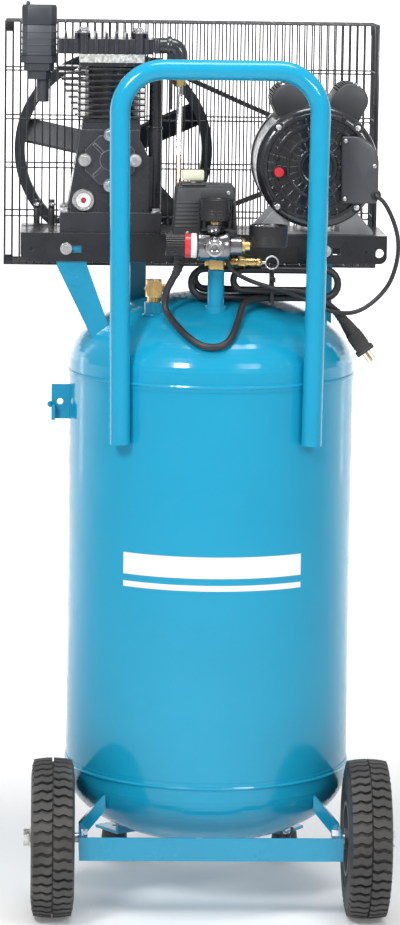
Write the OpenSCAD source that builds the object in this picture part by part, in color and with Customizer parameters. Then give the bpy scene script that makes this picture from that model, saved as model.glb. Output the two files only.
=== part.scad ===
// Vertical tank air compressor: a belt-driven single-cylinder pump on a wheeled upright tank.
// Millimetres. +Z is up and the floor is Z = 0. The handle, wheels and controls face -Y.

/* [Tank] */
// Outside diameter of the tank
tank_d = 457; // [450:1:464]
// Wall of the shell and of both heads
tank_wall = 3.5; // [3:0.5:5]
// Height of the lower girth seam
low_seam_z = 218; // [214:1:222]
// Height of the upper girth seam
high_seam_z = 855; // [851:1:859]
// Rise of each dished head beyond its skirt
head_rise = 114; // [112:1:116]
// Straight skirt between a seam and the dish
head_skirt = 15; // [14:1:16]

/* [Handle] */
// Outside diameter of the handle tube
handle_d = 31.8; // [28:0.1:33]
// Height of the top bar's centre line
handle_top_z = 1345; // [1320:1:1370]
// Height of the legs' lower ends
handle_low_z = 761; // [740:1:790]
// Distance between the legs at their lower ends
handle_span = 300; // [296:1:304]
// Bend radius of the two upper corners, on the centre line
handle_bend = 68; // [60:1:80]

/* [Wheels] */
// Tyre diameter
wheel_d = 254; // [250:1:256]
// Tyre width
wheel_w = 70; // [66:1:72]
// Distance between the two wheels' middle planes
wheel_track = 500; // [498:1:504]
// How far the axle is in front of the tank's axis
axle_forward = 180; // [178:1:182]
// Diameter of the axle bolts
axle_d = 16; // [14:1:18]

/* [Platform] */
// Width of the deck
deck_w = 580; // [570:1:584]
// Front-to-back depth of the deck
deck_depth = 174; // [172:1:176]
// Height of the deck's turned-down flanges
deck_flange = 45; // [44:1:46]

/* [Pump] */
// Outside diameter of the flywheel
flywheel_d = 325; // [320:1:326]
// Cylinder bore
bore_d = 65; // [63:1:66]
// Half of the piston's stroke
crank_throw = 14; // [12:1:14]
// Number of flywheel spokes
spokes = 5; // [4:1:6]

/* [Motor] */
// Outside diameter of the motor's end bells
bell_d = 193; // [190:1:194]
// Outside diameter of the motor pulley
pulley_d = 84; // [82:1:86]

/* [Belt guard] */
// Spacing of the upright guard wires
wire_pitch = 12.3; // [12.3:0.1:24.6]
// Thickness of a guard wire
wire_t = 2.4; // [2:0.1:2.6]

/* [Cords] */
// Diameter of the mains cord
mains_d = 11; // [10:0.5:11]
// Diameter of the motor lead
lead_d = 7; // [6:0.5:7]

/* [Hidden] */
$fn = 96;

// The tank's axis, seen from the middle of the whole object's footprint
tank_x = 20.5;
tank_y = 23.5;

// Paint, rubber and metal colours
blue = [0.20, 0.62, 0.83];
black = [0.16, 0.17, 0.19];
iron = [0.24, 0.26, 0.28];
dark_grey = [0.36, 0.38, 0.40];
light_grey = [0.72, 0.73, 0.72];
silver = [0.78, 0.79, 0.80];
brass = [0.80, 0.64, 0.34];
copper = [0.72, 0.44, 0.30];
rubber = [0.24, 0.24, 0.24];
red = [0.78, 0.10, 0.10];

// Tank heights
tank_r = tank_d / 2;
low_dish_z = low_seam_z - head_skirt;
high_dish_z = high_seam_z + head_skirt;
sump_z = low_dish_z - head_rise;
girth_bead = 1.2;
dish_steps = 24;

// Ports on the heads: the riser that feeds the controls, and the inlet with its check valve
riser_y = -120;
riser_r = 13.35;
riser_top_z = 1029;
inlet_x = -97;
inlet_y = -100;
inlet_top_z = 975;
port_bore = 10.5;

// Wheels
axle_y = -axle_forward;
axle_z = wheel_d / 2;
axle_r = axle_d / 2;
running_gap = 0.05;
strap_t = 4;
strap_half = 208.5;
strap_front_y = -252;
strap_low_z = 107;
strap_high_z = 144;

// Rear feet
foot_x = 144;
foot_y = 200;
foot_h = 50;

// Drain line under the tank
drain_z = 66;
drain_valve_x = 118;

// Deck
deck_z = 1082;
sheet_t = 4;
deck_mid_x = -18;
flange_low_z = deck_z - deck_flange;
deck_half_y = deck_depth / 2;
bolt_r = 4;
bolt_hole_r = 4.3;

// Pump
pump_x = -166;
base_bolt_xs = [-238, -96];
pump_y = -10;
crank_x = -158;
crank_z = 1196;
base_top_z = 1113;
case_front_y = -62;
case_back_y = 66;
boss_back_y = 112;
case_top_z = 1253;
cylinder_top_z = 1349;
plate_top_z = 1362;
head_top_z = 1395;
head_left = -250;
head_right = -101;
fin_pitch = 9.4;
fin_t = 3.2;
fin_half = 53.5;
bore_r = bore_d / 2;
shaft_r = 12.5;
pin_r = 9;
rod_length = 85;
rod_back_y = 0;
rod_front_y = -20;
flywheel_r = flywheel_d / 2;
belt_y = 200;
belt_w = 12;
belt_t = 8;
groove_gap = 0.6;
flywheel_w = 38;

// Motor
motor_x = 158;
motor_z = 1191;
bell_r = bell_d / 2;
motor_front_y = -112;
front_joint_y = -76;
rear_joint_y = 60;
shell_r = 94;
motor_shaft_r = 9.5;
rotor_r = 48;
pulley_r = pulley_d / 2;

// Belt guard
guard_left = -337;
guard_right = 273;
guard_low = 1010;
guard_high = 1407;
guard_near_y = 130;
guard_far_y = 260;
guard_rows = 5;

// Controls
switch_front_y = -172;
switch_back_y = -106;
switch_low_z = 1068;
switch_floor_z = 1078;
switch_top_z = 1166;
reg_x = -8;
reg_y = -200;
reg_z = 1074;
reg_r = 23.5;
feed_z = 1056;
tank_gauge_x = -6;
tank_gauge_r = 25;
tank_gauge_low_z = 1113;
outlet_gauge_x = 77;
outlet_gauge_r = 30;
outlet_gauge_low_z = 1073;
gauge_h = 34;
safety_z = 1041;

// Places are given from the tank's axis at floor level
module at(x = 0, y = 0, z = 0) {
    translate([tank_x + x, tank_y + y, z]) children();
}

// Turns a shape that was drawn along +Z so that it runs along +X
module along_x() {
    rotate([0, 90, 0]) children();
}

// Turns a shape that was drawn along +Z so that it runs along +Y
module along_y() {
    rotate([-90, 0, 0]) children();
}

// Extrudes an outline drawn in X and Z, from y = 0 towards +Y
module upright(depth) {
    translate([0, depth, 0]) rotate([90, 0, 0]) linear_extrude(depth) children();
}

module block(low, high) {
    translate(low) cube(high - low);
}

// A tube about +Z
module pipe(r_out, r_in, h) {
    difference() {
        cylinder(r = r_out, h = h);
        translate([0, 0, -1]) cylinder(r = r_in, h = h + 2);
    }
}

// A hexagon prism about +Z, by its width across the flats
module hex(flats, h) {
    cylinder(r = flats / sqrt(3), h = h, $fn = 6);
}

// A ring about +Z with rounded section
module ring(r_mid, r_wire) {
    rotate_extrude() translate([r_mid, 0]) circle(r = r_wire, $fn = 32);
}

// ---------------------------------------------------------------- tank

// A quarter of an ellipse, from its wide end to its crown
function quarter(a, b) = [for (i = [0:dish_steps]) [a * cos(90 * i / dish_steps),
    b * sin(90 * i / dish_steps)]];

function reversed(points) = [for (i = [len(points) - 1:-1:0]) points[i]];

module dish() {
    inner_r = tank_r - tank_wall;
    rotate_extrude() {
        polygon(concat(quarter(tank_r, head_rise), reversed(quarter(inner_r, head_rise - tank_wall)),
            [[inner_r, -head_skirt], [tank_r, -head_skirt]]));
    }
}

module tank_shell() {
    color(blue) at() {
        difference() {
            union() {
                translate([0, 0, low_seam_z]) cylinder(r = tank_r, h = high_seam_z - low_seam_z);
                for (z = [low_seam_z, high_seam_z - 8]) {
                    translate([0, 0, z]) cylinder(r = tank_r + girth_bead, h = 8);
                }
            }
            translate([0, 0, low_seam_z - 1])
                cylinder(r = tank_r - tank_wall, h = high_seam_z - low_seam_z + 2);
        }
        side_hook();
    }
}

// A plate with a turned-up lip on the left flank, for the air hose
module side_hook() {
    difference() {
        union() {
            block([-257, -3, 775], [-tank_r + 1, 3, 831]);
            block([-257, -22, 775], [-251, 3, 800]);
            translate([-259, 0, 798]) sphere(r = 5, $fn = 24);
        }
        translate([-243, -4, 803]) along_y() cylinder(r = 5, h = 8);
    }
}

module top_head() {
    color(blue) at() difference() {
        union() {
            translate([0, 0, high_dish_z]) dish();
            translate([0, riser_y, 955]) cylinder(r = 17, h = 17);
            translate([0, riser_y, 955]) cylinder(r = riser_r, h = riser_top_z - 955);
            translate([inlet_x, inlet_y, 945]) cylinder(r = 15, h = inlet_top_z - 945);
        }
        translate([0, riser_y, 900]) cylinder(r = port_bore, h = 200);
        translate([inlet_x, inlet_y, 900]) cylinder(r = port_bore, h = 200);
    }
}

module bottom_head() {
    color(blue) at() difference() {
        union() {
            translate([0, 0, low_dish_z]) mirror([0, 0, 1]) dish();
            translate([0, 0, sump_z - 7]) cylinder(r = 15, h = 10);
        }
        translate([0, 0, sump_z - 10]) cylinder(r = 9, h = 30);
    }
}

// ---------------------------------------------------------------- handle

// The legs spread a little towards the top
handle_splay = 0.6;

module handle_side(r) {
    z_mid = handle_top_z - handle_bend;
    z_end = z_mid - handle_bend * sin(handle_splay);
    x_end = handle_span / 2 + (z_end - handle_low_z) * tan(handle_splay);
    x_mid = x_end - handle_bend * cos(handle_splay);
    leg = (z_end - handle_low_z) / cos(handle_splay);
    translate([handle_span / 2, 0, handle_low_z]) rotate([0, handle_splay, 0])
        cylinder(r = r, h = leg);
    translate([x_mid, 0, z_mid]) rotate([90, 0, 0]) rotate([0, 0, -handle_splay])
        rotate_extrude(angle = 90 + handle_splay) translate([handle_bend, 0]) circle(r = r);
    translate([0, 0, handle_top_z]) along_x() cylinder(r = r, h = x_mid);
}

module handle_bar(r) {
    handle_side(r);
    mirror([1, 0, 0]) handle_side(r);
}

module handle_tube() {
    handle_y = -sqrt(pow(tank_r + handle_d / 2, 2) - pow(handle_span / 2, 2));
    color(blue) at(y = handle_y) handle_bar(handle_d / 2);
}

// ---------------------------------------------------------------- wheels and feet

module axle_ear() {
    difference() {
        block([strap_half - strap_t, strap_front_y, strap_low_z], [strap_half, -145, strap_high_z]);
        translate([strap_half - strap_t - 1, axle_y, axle_z]) along_x()
            cylinder(r = axle_r + 0.3, h = strap_t + 2);
    }
    // the wing runs from the ear up to the lower head
    hull() {
        block([strap_half - strap_t, -165, 120], [strap_half, -145, strap_high_z]);
        block([166, -158, 166], [170, -138, 190]);
    }
}

module axle_bracket() {
    color(blue) at() {
        block([-strap_half, strap_front_y, strap_low_z], [strap_half, strap_front_y + strap_t, strap_high_z]);
        axle_ear();
        mirror([1, 0, 0]) axle_ear();
    }
}

module axle_bolt() {
    translate([strap_half - strap_t - 10, axle_y, axle_z]) along_x() {
        hex(24, 10);
        cylinder(r = axle_r, h = 96);
    }
    translate([wheel_track / 2 + wheel_w / 2 + 1, axle_y, axle_z]) along_x() difference() {
        hex(24, 10);
        translate([0, 0, -1]) cylinder(r = axle_r, h = 12);
    }
}

module axle_bolts() {
    color(silver) at() {
        axle_bolt();
        mirror([1, 0, 0]) axle_bolt();
    }
}

module tyre() {
    groove_n = 36;
    along_x() difference() {
        rotate_extrude() difference() {
            translate([60, -wheel_w / 2]) square([wheel_d / 2 - 60, wheel_w]);
            for (s = [-1, 1]) {
                translate([wheel_d / 2, s * wheel_w / 2]) rotate(45)
                    square(20, center = true);
                translate([wheel_d / 2 - 3, s * 13]) square([8, 4], center = true);
            }
        }
        for (i = [0:groove_n - 1], s = [-1, 1]) {
            rotate([0, 0, (i + 0.25 * s) * 360 / groove_n]) translate([wheel_d / 2 - 3, 0, s * 26])
                cube([8, 5, 20], center = true);
        }
    }
}

module rim() {
    along_x() difference() {
        union() {
            difference() {
                translate([0, 0, -wheel_w / 2 + 2]) cylinder(r = 60, h = wheel_w - 4);
                for (s = [-1, 1]) {
                    translate([0, 0, s * 21]) cylinder(r = 54, h = 30, center = true);
                }
            }
            translate([0, 0, -wheel_w / 2]) cylinder(r = 17, h = wheel_w);
        }
        translate([0, 0, -wheel_w / 2 - 1]) cylinder(r = axle_r + running_gap, h = wheel_w + 2);
        for (i = [0:4]) {
            rotate([0, 0, i * 72]) translate([35, 0, -10]) cylinder(r = 7, h = 20);
        }
    }
}

module left_tyre() {
    color(rubber) at(-wheel_track / 2, axle_y, axle_z) tyre();
}

module right_tyre() {
    color(rubber) at(wheel_track / 2, axle_y, axle_z) tyre();
}

module left_rim() {
    color(dark_grey) at(-wheel_track / 2, axle_y, axle_z) rim();
}

module right_rim() {
    color(dark_grey) at(wheel_track / 2, axle_y, axle_z) rim();
}

// Each leg is a bent strap that stands radially under the tank's edge
module rear_leg(side) {
    turn = atan2(foot_y, side * foot_x);
    reach = norm([foot_x, foot_y]);
    rotate([0, 0, turn]) difference() {
        translate([0, -22, 0]) upright(44) polygon([[208, foot_h], [reach + 24, foot_h],
            [reach + 24, foot_h + 5], [214, foot_h + 5], [214, 166], [208, 160]]);
        translate([reach, 0, foot_h - 1]) cylinder(r = bolt_hole_r, h = 8);
    }
}

module rear_legs() {
    color(blue) at() {
        rear_leg(1);
        rear_leg(-1);
    }
}

module rubber_feet() {
    color(rubber) at() for (side = [-1, 1]) {
        translate([side * foot_x, foot_y, 0]) rotate_extrude()
            polygon([[0, 0], [25, 0], [25, 6], [20, foot_h], [0, foot_h]]);
    }
}

// ---------------------------------------------------------------- drain

module drain_valve() {
    color(silver) at() {
        translate([0, 0, drain_z - 11]) cylinder(r = 11, h = sump_z - 7 - drain_z + 11);
        translate([0, 0, drain_z]) along_x() cylinder(r = 8, h = drain_valve_x);
        translate([drain_valve_x, 0, drain_z]) along_x() hex(22, 32);
        translate([drain_valve_x + 32, 0, drain_z]) along_x() pipe(8, 5, 18);
        translate([drain_valve_x + 16, 0, drain_z]) cylinder(r = 6, h = 16);
    }
}

module drain_handle() {
    color(black) at(drain_valve_x + 16, 0, drain_z + 16.5) {
        cylinder(r = 7, h = 5);
        translate([0, 0, 14.5]) rotate([90, 0, 0]) difference() {
            translate([0, 0, -3]) cylinder(r = 12, h = 6);
            translate([0, 0, -4]) cylinder(r = 7, h = 8);
        }
    }
}

// ---------------------------------------------------------------- platform

module platform_struts() {
    front_y = -deck_half_y + sheet_t;
    back_y = deck_half_y - sheet_t - strap_t;
    color(blue) at() {
        difference() {
            union() {
                translate([0, front_y, 0]) upright(strap_t) polygon([[-251, deck_z - 5],
                    [-203, deck_z - 5], [-203, 1032], [-164, 925], [-194, 915], [-251, 1030]]);
                block([168, front_y, 924], [179, front_y + strap_t, deck_z - 5]);
                block([168, front_y + strap_t, 932], [172, front_y + 36, deck_z - 5]);
            }
            bolt_row(-deck_half_y) cylinder(r = bolt_hole_r, h = 20);
        }
        difference() {
            union() {
                block([-136, back_y, 952], [-105, back_y + strap_t, deck_z - 5]);
                block([168, back_y, 924], [198, back_y + strap_t, deck_z - 5]);
            }
            bolt_row(deck_half_y - 20) cylinder(r = bolt_hole_r, h = 20);
        }
    }
}

// The places of the bolts that hold the struts to the flanges
module bolt_row(y) {
    xs = y < 0 ? [-236, 174] : [-120, 186];
    for (x = xs) {
        translate([x, y, 1057]) along_y() children();
    }
}

module flange_outline() {
    left = deck_mid_x - deck_w / 2;
    round_r = 12;
    difference() {
        union() {
            translate([left, flange_low_z + round_r]) square([deck_w, deck_flange - round_r]);
            translate([left + round_r, flange_low_z]) square([deck_w - 2 * round_r, round_r + 1]);
            for (x = [left + round_r, left + deck_w - round_r]) {
                translate([x, flange_low_z + round_r]) circle(r = round_r);
            }
        }
        for (x = [left + 17, left + deck_w - 33]) {
            translate([x, 1056]) circle(r = 3.5);
        }
        translate([left + deck_w - 12, 1054]) circle(r = 7);
        for (x = [-222, 188]) {
            translate([x - 10, 1051]) square([20, 11]);
        }
    }
}

module foot_holes() {
    for (x = base_bolt_xs, y = [-55, 55]) {
        translate([x, y, deck_z - 10]) cylinder(r = bolt_hole_r, h = 60);
    }
    for (x = [motor_x - 80, motor_x + 80], y = [-40, 30]) {
        translate([x, y, deck_z - 10]) cylinder(r = bolt_hole_r, h = 30);
    }
}

module platform_deck() {
    left = deck_mid_x - deck_w / 2;
    color(black) at() difference() {
        union() {
            block([left, -deck_half_y, deck_z - sheet_t], [left + deck_w, deck_half_y, deck_z]);
            for (y = [-deck_half_y, deck_half_y - sheet_t]) {
                translate([0, y, 0]) upright(sheet_t) flange_outline();
            }
        }
        foot_holes();
        for (x = [-236, 174]) {
            translate([x, -deck_half_y - 5, 1057]) along_y() cylinder(r = bolt_hole_r, h = 20);
        }
        for (x = [-120, 186]) {
            translate([x, deck_half_y - 15, 1057]) along_y() cylinder(r = bolt_hole_r, h = 20);
        }
    }
}

// A bolt about +Z: the head is above zero and the shank below
module bolt(shank) {
    hex(13, 6);
    cylinder(r = 9.5, h = 1.6);
    translate([0, 0, -shank]) cylinder(r = bolt_r, h = shank);
}

module cover_places() {
    for (a = [0:90:270]) {
        translate([pump_x - 2, case_front_y - 12, crank_z]) rotate([90, 0, 0])
            rotate([0, 0, a]) translate([40, 0, 0]) children();
    }
}

module m8_bolts() {
    color(silver) at() {
        cover_places() bolt(18);
        for (x = [pump_x - 45, pump_x + 43], y = [pump_y - 42, pump_y + 42]) {
            translate([x, y, head_top_z + 0.1]) bolt(40);
        }
        for (x = [-236, 174]) {
            translate([x, -deck_half_y - 0.1, 1057]) rotate([90, 0, 0]) bolt(14);
        }
        for (x = [-120, 186]) {
            translate([x, deck_half_y + 0.1, 1057]) along_y() bolt(14);
        }
        for (x = base_bolt_xs, y = [-55, 55]) {
            translate([x, y, base_top_z + 0.1]) bolt(40);
        }
        for (x = [motor_x - 80, motor_x + 80], y = [-40, 30]) {
            translate([x, y, deck_z + 4.1]) bolt(14);
        }
    }
}

// ---------------------------------------------------------------- pump

module crankcase() {
    color(dark_grey) at() difference() {
        union() {
            // base
            block([-246, -75, deck_z], [-86, 75, base_top_z]);
            // body, narrower towards the top
            translate([0, case_front_y, 0]) upright(case_back_y - case_front_y)
                polygon([[-236, base_top_z - 5], [-214, 1243], [-121, 1243], [-121, 1228],
                    [-106, 1200], [-106, base_top_z - 5]]);
            // cylinder seat
            block([pump_x - 46, pump_y - 48, 1240], [pump_x + 46, pump_y + 48, case_top_z]);
            // corner column under the breather
            translate([-96, -30, base_top_z - 5]) cylinder(r = 10.5, h = 1243 - base_top_z + 5);
            block([-110, -40, base_top_z - 5], [-100, -20, 1200]);
            // rear bearing boss
            translate([crank_x, case_back_y - 5, crank_z]) along_y()
                cylinder(r = 30, h = boss_back_y - case_back_y + 5);
        }
        // inside
        translate([0, case_front_y + 9, 0]) upright(76)
            polygon([[-225, base_top_z + 6], [-208, 1233], [-129, 1233], [-129, 1225],
                [-115, 1198], [-115, base_top_z + 6]]);
        translate([pump_x, pump_y, 1220]) cylinder(r = bore_r + 0.1, h = 40);
        // front opening and rear bore
        translate([pump_x - 2, case_front_y - 1, crank_z]) along_y() cylinder(r = 32, h = 12);
        translate([crank_x, 0, crank_z]) along_y()
            cylinder(r = shaft_r + running_gap, h = boss_back_y + 1);
        cover_places() translate([0, 0, -19]) cylinder(r = bolt_r + 0.2, h = 20);
        for (x = base_bolt_xs, y = [-55, 55]) {
            translate([x, y, deck_z - 1]) cylinder(r = bolt_hole_r, h = 60);
            translate([x, y, base_top_z]) cylinder(r = 10.5, h = 28);
        }
        sight_place() translate([0, 0, -10]) cylinder(r = 11, h = 20);
    }
}

// The oil sight glass sits low on the left of the front face
module sight_place() {
    translate([-209, case_front_y, 1132]) rotate([90, 0, 0]) children();
}

module front_cover() {
    color(iron) at() {
        union() {
            translate([pump_x - 2, case_front_y - 0.2, crank_z]) rotate([90, 0, 0]) {
                difference() {
                    union() {
                        rotate([0, 0, 22.5]) cylinder(r = 42, h = 8, $fn = 8);
                        for (a = [0:90:270]) {
                            rotate([0, 0, a]) translate([40, 0, 0]) cylinder(r = 10.5, h = 11.8);
                        }
                        cylinder(r = 16, h = 11);
                        for (a = [45, -45]) {
                            rotate([0, 0, a]) translate([-36, -2.5, 0]) cube([72, 5, 10]);
                        }
                    }
                    translate([0, 0, -1]) cylinder(r = 28, h = 5);
                    for (a = [0:90:270]) {
                        rotate([0, 0, a]) translate([40, 0, -1])
                            cylinder(r = bolt_r + 0.3, h = 20);
                    }
                }
            }
        }
    }
}

module sight_glass() {
    color(silver) at() sight_place() {
        translate([0, 0, 0.2]) difference() {
            cylinder(r = 18, h = 6);
            translate([0, 0, 3]) cylinder(r = 13, h = 4);
        }
        translate([0, 0, -8]) cylinder(r = 10.8, h = 9);
        translate([0, 0, 3]) cylinder(r = 5, h = 2.5);
    }
}

module breather_tube() {
    color(black) at(-96, -30, 1243.2) {
        cylinder(r = 12, h = 4);
        pipe(10, 7, plate_top_z - 1243.2 - 6);
    }
}

// One cooling fin: square at the front, with a wing at the back left that is wider higher up
module fin(z) {
    wing = 4 + 30 * (z - 1262) / (1340 - 1262);
    block([pump_x - fin_half, pump_y - fin_half, z], [pump_x + fin_half, pump_y + fin_half, z + fin_t]);
    block([pump_x - fin_half - wing, pump_y, z], [pump_x - fin_half + 1, pump_y + fin_half, z + fin_t]);
}

module cylinder_block() {
    color(iron) at() difference() {
        union() {
            translate([pump_x, pump_y, case_top_z]) cylinder(r = bore_r + 9, h = cylinder_top_z - case_top_z);
            block([pump_x - 45, pump_y - 46, case_top_z], [pump_x + 45, pump_y + 46, case_top_z + 7]);
            block([pump_x - 50, pump_y - 52, cylinder_top_z - 6], [pump_x + 50, pump_y + 52, cylinder_top_z]);
            for (i = [0:8]) {
                fin(case_top_z + 9 + i * fin_pitch);
            }
        }
        translate([pump_x, pump_y, case_top_z - 1]) cylinder(r = bore_r, h = 200);
        for (x = [pump_x - 45, pump_x + 43], y = [pump_y - 42, pump_y + 42]) {
            translate([x, y, cylinder_top_z - 12]) cylinder(r = bolt_r + 0.2, h = 20);
        }
    }
}

module valve_plate() {
    color(light_grey) at() difference() {
        block([pump_x - 51, pump_y - 53, cylinder_top_z], [pump_x + 51, pump_y + 53, plate_top_z]);
        for (x = [pump_x - 45, pump_x + 43], y = [pump_y - 42, pump_y + 42]) {
            translate([x, y, cylinder_top_z - 1]) cylinder(r = bolt_r + 0.3, h = 20);
        }
        for (x = [-14, 14]) {
            translate([pump_x + x, pump_y, cylinder_top_z - 1]) cylinder(r = 5, h = 20);
        }
    }
}

module cylinder_head() {
    color(iron) at() difference() {
        union() {
            block([head_left, pump_y - 50, plate_top_z + 0.2], [head_right, pump_y + 50, head_top_z - 9]);
            for (i = [0:8]) {
                block([head_left + 9 + i * 16, pump_y - 55, plate_top_z + 2],
                    [head_left + 13 + i * 16, pump_y + 55, head_top_z]);
            }
            for (x = [pump_x - 45, pump_x + 43], y = [pump_y - 42, pump_y + 42]) {
                translate([x, y, plate_top_z + 1]) cylinder(r = 11, h = head_top_z - plate_top_z - 1);
            }
        }
        for (x = [pump_x - 45, pump_x + 43], y = [pump_y - 42, pump_y + 42]) {
            translate([x, y, plate_top_z - 1]) cylinder(r = bolt_r + 0.3, h = 60);
        }
        for (x = [-28, 28]) {
            translate([pump_x + x, pump_y, plate_top_z + 5]) cube([44, 70, 18], center = true);
        }
    }
}

filter_left = -309;
filter_right = -253;
filter_low = 1320;
filter_seam = 1357;

// A box with cut corners, drawn in X and Y about its own centre
module cut_square(half, cut) {
    polygon([[half, half - cut], [half - cut, half], [cut - half, half], [-half, half - cut],
        [-half, cut - half], [cut - half, -half], [half - cut, -half], [half, cut - half]]);
}

module filter_base() {
    half = (filter_right - filter_left) / 2;
    color(dark_grey) at((filter_left + filter_right) / 2, pump_y, 0) {
        difference() {
            union() {
                translate([0, 0, filter_low]) linear_extrude(14) cut_square(half - 9, 8);
                translate([0, 0, filter_low + 14]) linear_extrude(12) cut_square(half - 4, 8);
                translate([0, 0, filter_low + 26]) linear_extrude(11) cut_square(half, 8);
                translate([6, 0, 1284]) cylinder(r = 10, h = filter_low - 1284 + 2);
                // flange that bolts to the head's left end
                block([half - 1, -20, 1342], [half + 2.5, 20, 1356]);
            }
            translate([0, 0, filter_low + 6]) linear_extrude(40) cut_square(half - 13, 7);
            translate([6, 0, 1283]) cylinder(r = 7, h = 60);
        }
    }
}

module filter_cover() {
    half = (filter_right - filter_left) / 2;
    cap_z = 1404;
    color(dark_grey) at((filter_left + filter_right) / 2, pump_y, 0) difference() {
        union() {
            translate([0, 0, filter_seam + 0.2]) linear_extrude(cap_z - filter_seam) cut_square(half - 1, 8);
            translate([0, 0, cap_z]) linear_extrude(28) cut_square(half, 9);
            translate([0, 0, cap_z + 28]) linear_extrude(5) cut_square(half - 3, 9);
            translate([-18, 0, cap_z + 33]) cylinder(r = 5, h = 6);
        }
        translate([0, 0, filter_seam - 1]) linear_extrude(70) cut_square(half - 4, 8);
    }
}

// ---------------------------------------------------------------- air lines

elbow_x = -59;
elbow_y = -58;

module discharge_elbow() {
    color(black) at() difference() {
        union() {
            block([head_right + 0.3, -72, 1366], [-74, -44, 1387]);
            block([-76, elbow_y - 17, 1352], [-45, elbow_y + 17, 1391]);
            translate([elbow_x, elbow_y, 1326]) cylinder(r = 9, h = 30);
            translate([-73, elbow_y, 1276]) cylinder(r = 3.2, h = 80);
        }
        translate([elbow_x, elbow_y, 1325]) cylinder(r = 4, h = 50);
        translate([head_right - 1, elbow_y, 1376]) along_x() cylinder(r = 6, h = 42);
    }
}

// Rings across a route, swept into one closed tube
function unit(v) = v / norm(v);
function heading(p, i) = unit(p[min(i + 1, len(p) - 1)] - p[max(i - 1, 0)]);
function side_of(d) = unit(abs(d[2]) < 0.9 ? cross(d, [0, 0, 1]) : cross(d, [0, 1, 0]));
// Carries the first ring's side direction along the route without twist
function carried(p, i) = i == 0 ? side_of(heading(p, 0))
    : let (d = heading(p, i), last = carried(p, i - 1)) unit(last - d * (last * d));
function ring_points(p, i, r, n) = let (d = heading(p, i), u = carried(p, i), w = cross(d, u))
    [for (k = [0:n - 1]) p[i] + r * (cos(360 * k / n) * u + sin(360 * k / n) * w)];

module swept(p, r, n) {
    last = len(p) - 1;
    points = [for (i = [0:last]) each ring_points(p, i, r, n)];
    sides = [for (i = [0:last - 1], k = [0:n - 1])
        [i * n + k, i * n + (k + 1) % n, (i + 1) * n + (k + 1) % n, (i + 1) * n + k]];
    ends = [[for (k = [n - 1:-1:0]) k], [for (k = [0:n - 1]) last * n + k]];
    polyhedron(points, concat(sides, ends), convexity = 6);
}

// Smooth points through the ones chosen by hand (Catmull-Rom)
function blended(a, b, c, d, t) = 0.5 * (2 * b + (c - a) * t + (2 * a - 5 * b + 4 * c - d) * t * t
    + (3 * b - a - 3 * c + d) * t * t * t);
function smooth(p, n) = [for (i = [0:len(p) - 2], k = [0:n - 1]) blended(p[max(i - 1, 0)], p[i],
    p[i + 1], p[min(i + 2, len(p) - 1)], k / n), p[len(p) - 1]];

steel_route = [[elbow_x, elbow_y, 1313.4], [-59, -62, 1280], [-60, -70, 1240], [-60, -78, 1206]];
copper_route = [[-60, -78, 1205.5], [-60, -88, 1160], [-60, -98, 1110], [-60, -100, 1060],
    [-62, -100, 1030], [-70, -100, 1004], [-76, -100, 1000.5], [-83.6, -100, 1000]];

module discharge_tube() {
    color(silver) at() swept(smooth(steel_route, 3), 5, 12);
}

module copper_tube() {
    color(copper) at() swept(smooth(copper_route, 4), 4.4, 12);
}

module brass_fittings() {
    color(brass) at() {
        translate([elbow_x, elbow_y, 1314.2]) hex(17, 11.6);
        // check valve on the inlet port, with its plug towards the front
        translate([inlet_x, inlet_y, inlet_top_z + 0.1]) cylinder(r = 10, h = 10);
        translate([inlet_x, inlet_y, inlet_top_z + 10]) cylinder(r = 13, h = 26);
        translate([inlet_x, inlet_y - 12, inlet_top_z + 23]) rotate([90, 0, 0]) hex(27, 14);
    }
}

// ---------------------------------------------------------------- crank train

module crankshaft() {
    color(silver) at(crank_x, 0, crank_z) {
        translate([0, 16, 0]) along_y() cylinder(r = shaft_r, h = belt_y + flywheel_w / 2 - 16 + 6);
        translate([0, 4, 0]) along_y() cylinder(r = 34, h = 12);
        translate([0, rod_front_y - 4, crank_throw]) along_y() cylinder(r = pin_r, h = -rod_front_y + 10);
        translate([0, belt_y + flywheel_w / 2 + 0.2, 0]) along_y() hex(30, 8);
    }
}

module connecting_rod() {
    lean = pump_x - crank_x;
    color(light_grey) at(crank_x, rod_front_y, crank_z + crank_throw) difference() {
        union() {
            along_y() cylinder(r = 15, h = rod_back_y - rod_front_y);
            translate([lean, 0, rod_length]) along_y() cylinder(r = 10, h = rod_back_y - rod_front_y);
            rotate([0, atan(lean / rod_length), 0]) translate([-6, 5, 10]) cube([12, 10, rod_length - 16]);
        }
        translate([0, -1, 0]) along_y() cylinder(r = pin_r + running_gap, h = 30);
        translate([lean, -1, rod_length]) along_y() cylinder(r = 6, h = 30);
    }
}

module piston() {
    color(silver) at(pump_x, pump_y, 1285) difference() {
        cylinder(r = bore_r - 0.05, h = 40);
        translate([0, 0, -1]) cylinder(r = bore_r - 4, h = 36);
        for (z = [26, 32]) {
            translate([0, 0, z]) pipe(bore_r + 1, bore_r - 1.2, 2);
        }
    }
}

module groove(r, w, depth) {
    rotate_extrude() polygon([[r + 1, -w / 2 - 1], [r - depth, -w / 2 + 2], [r - depth, w / 2 - 2],
        [r + 1, w / 2 + 1]]);
}

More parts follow.
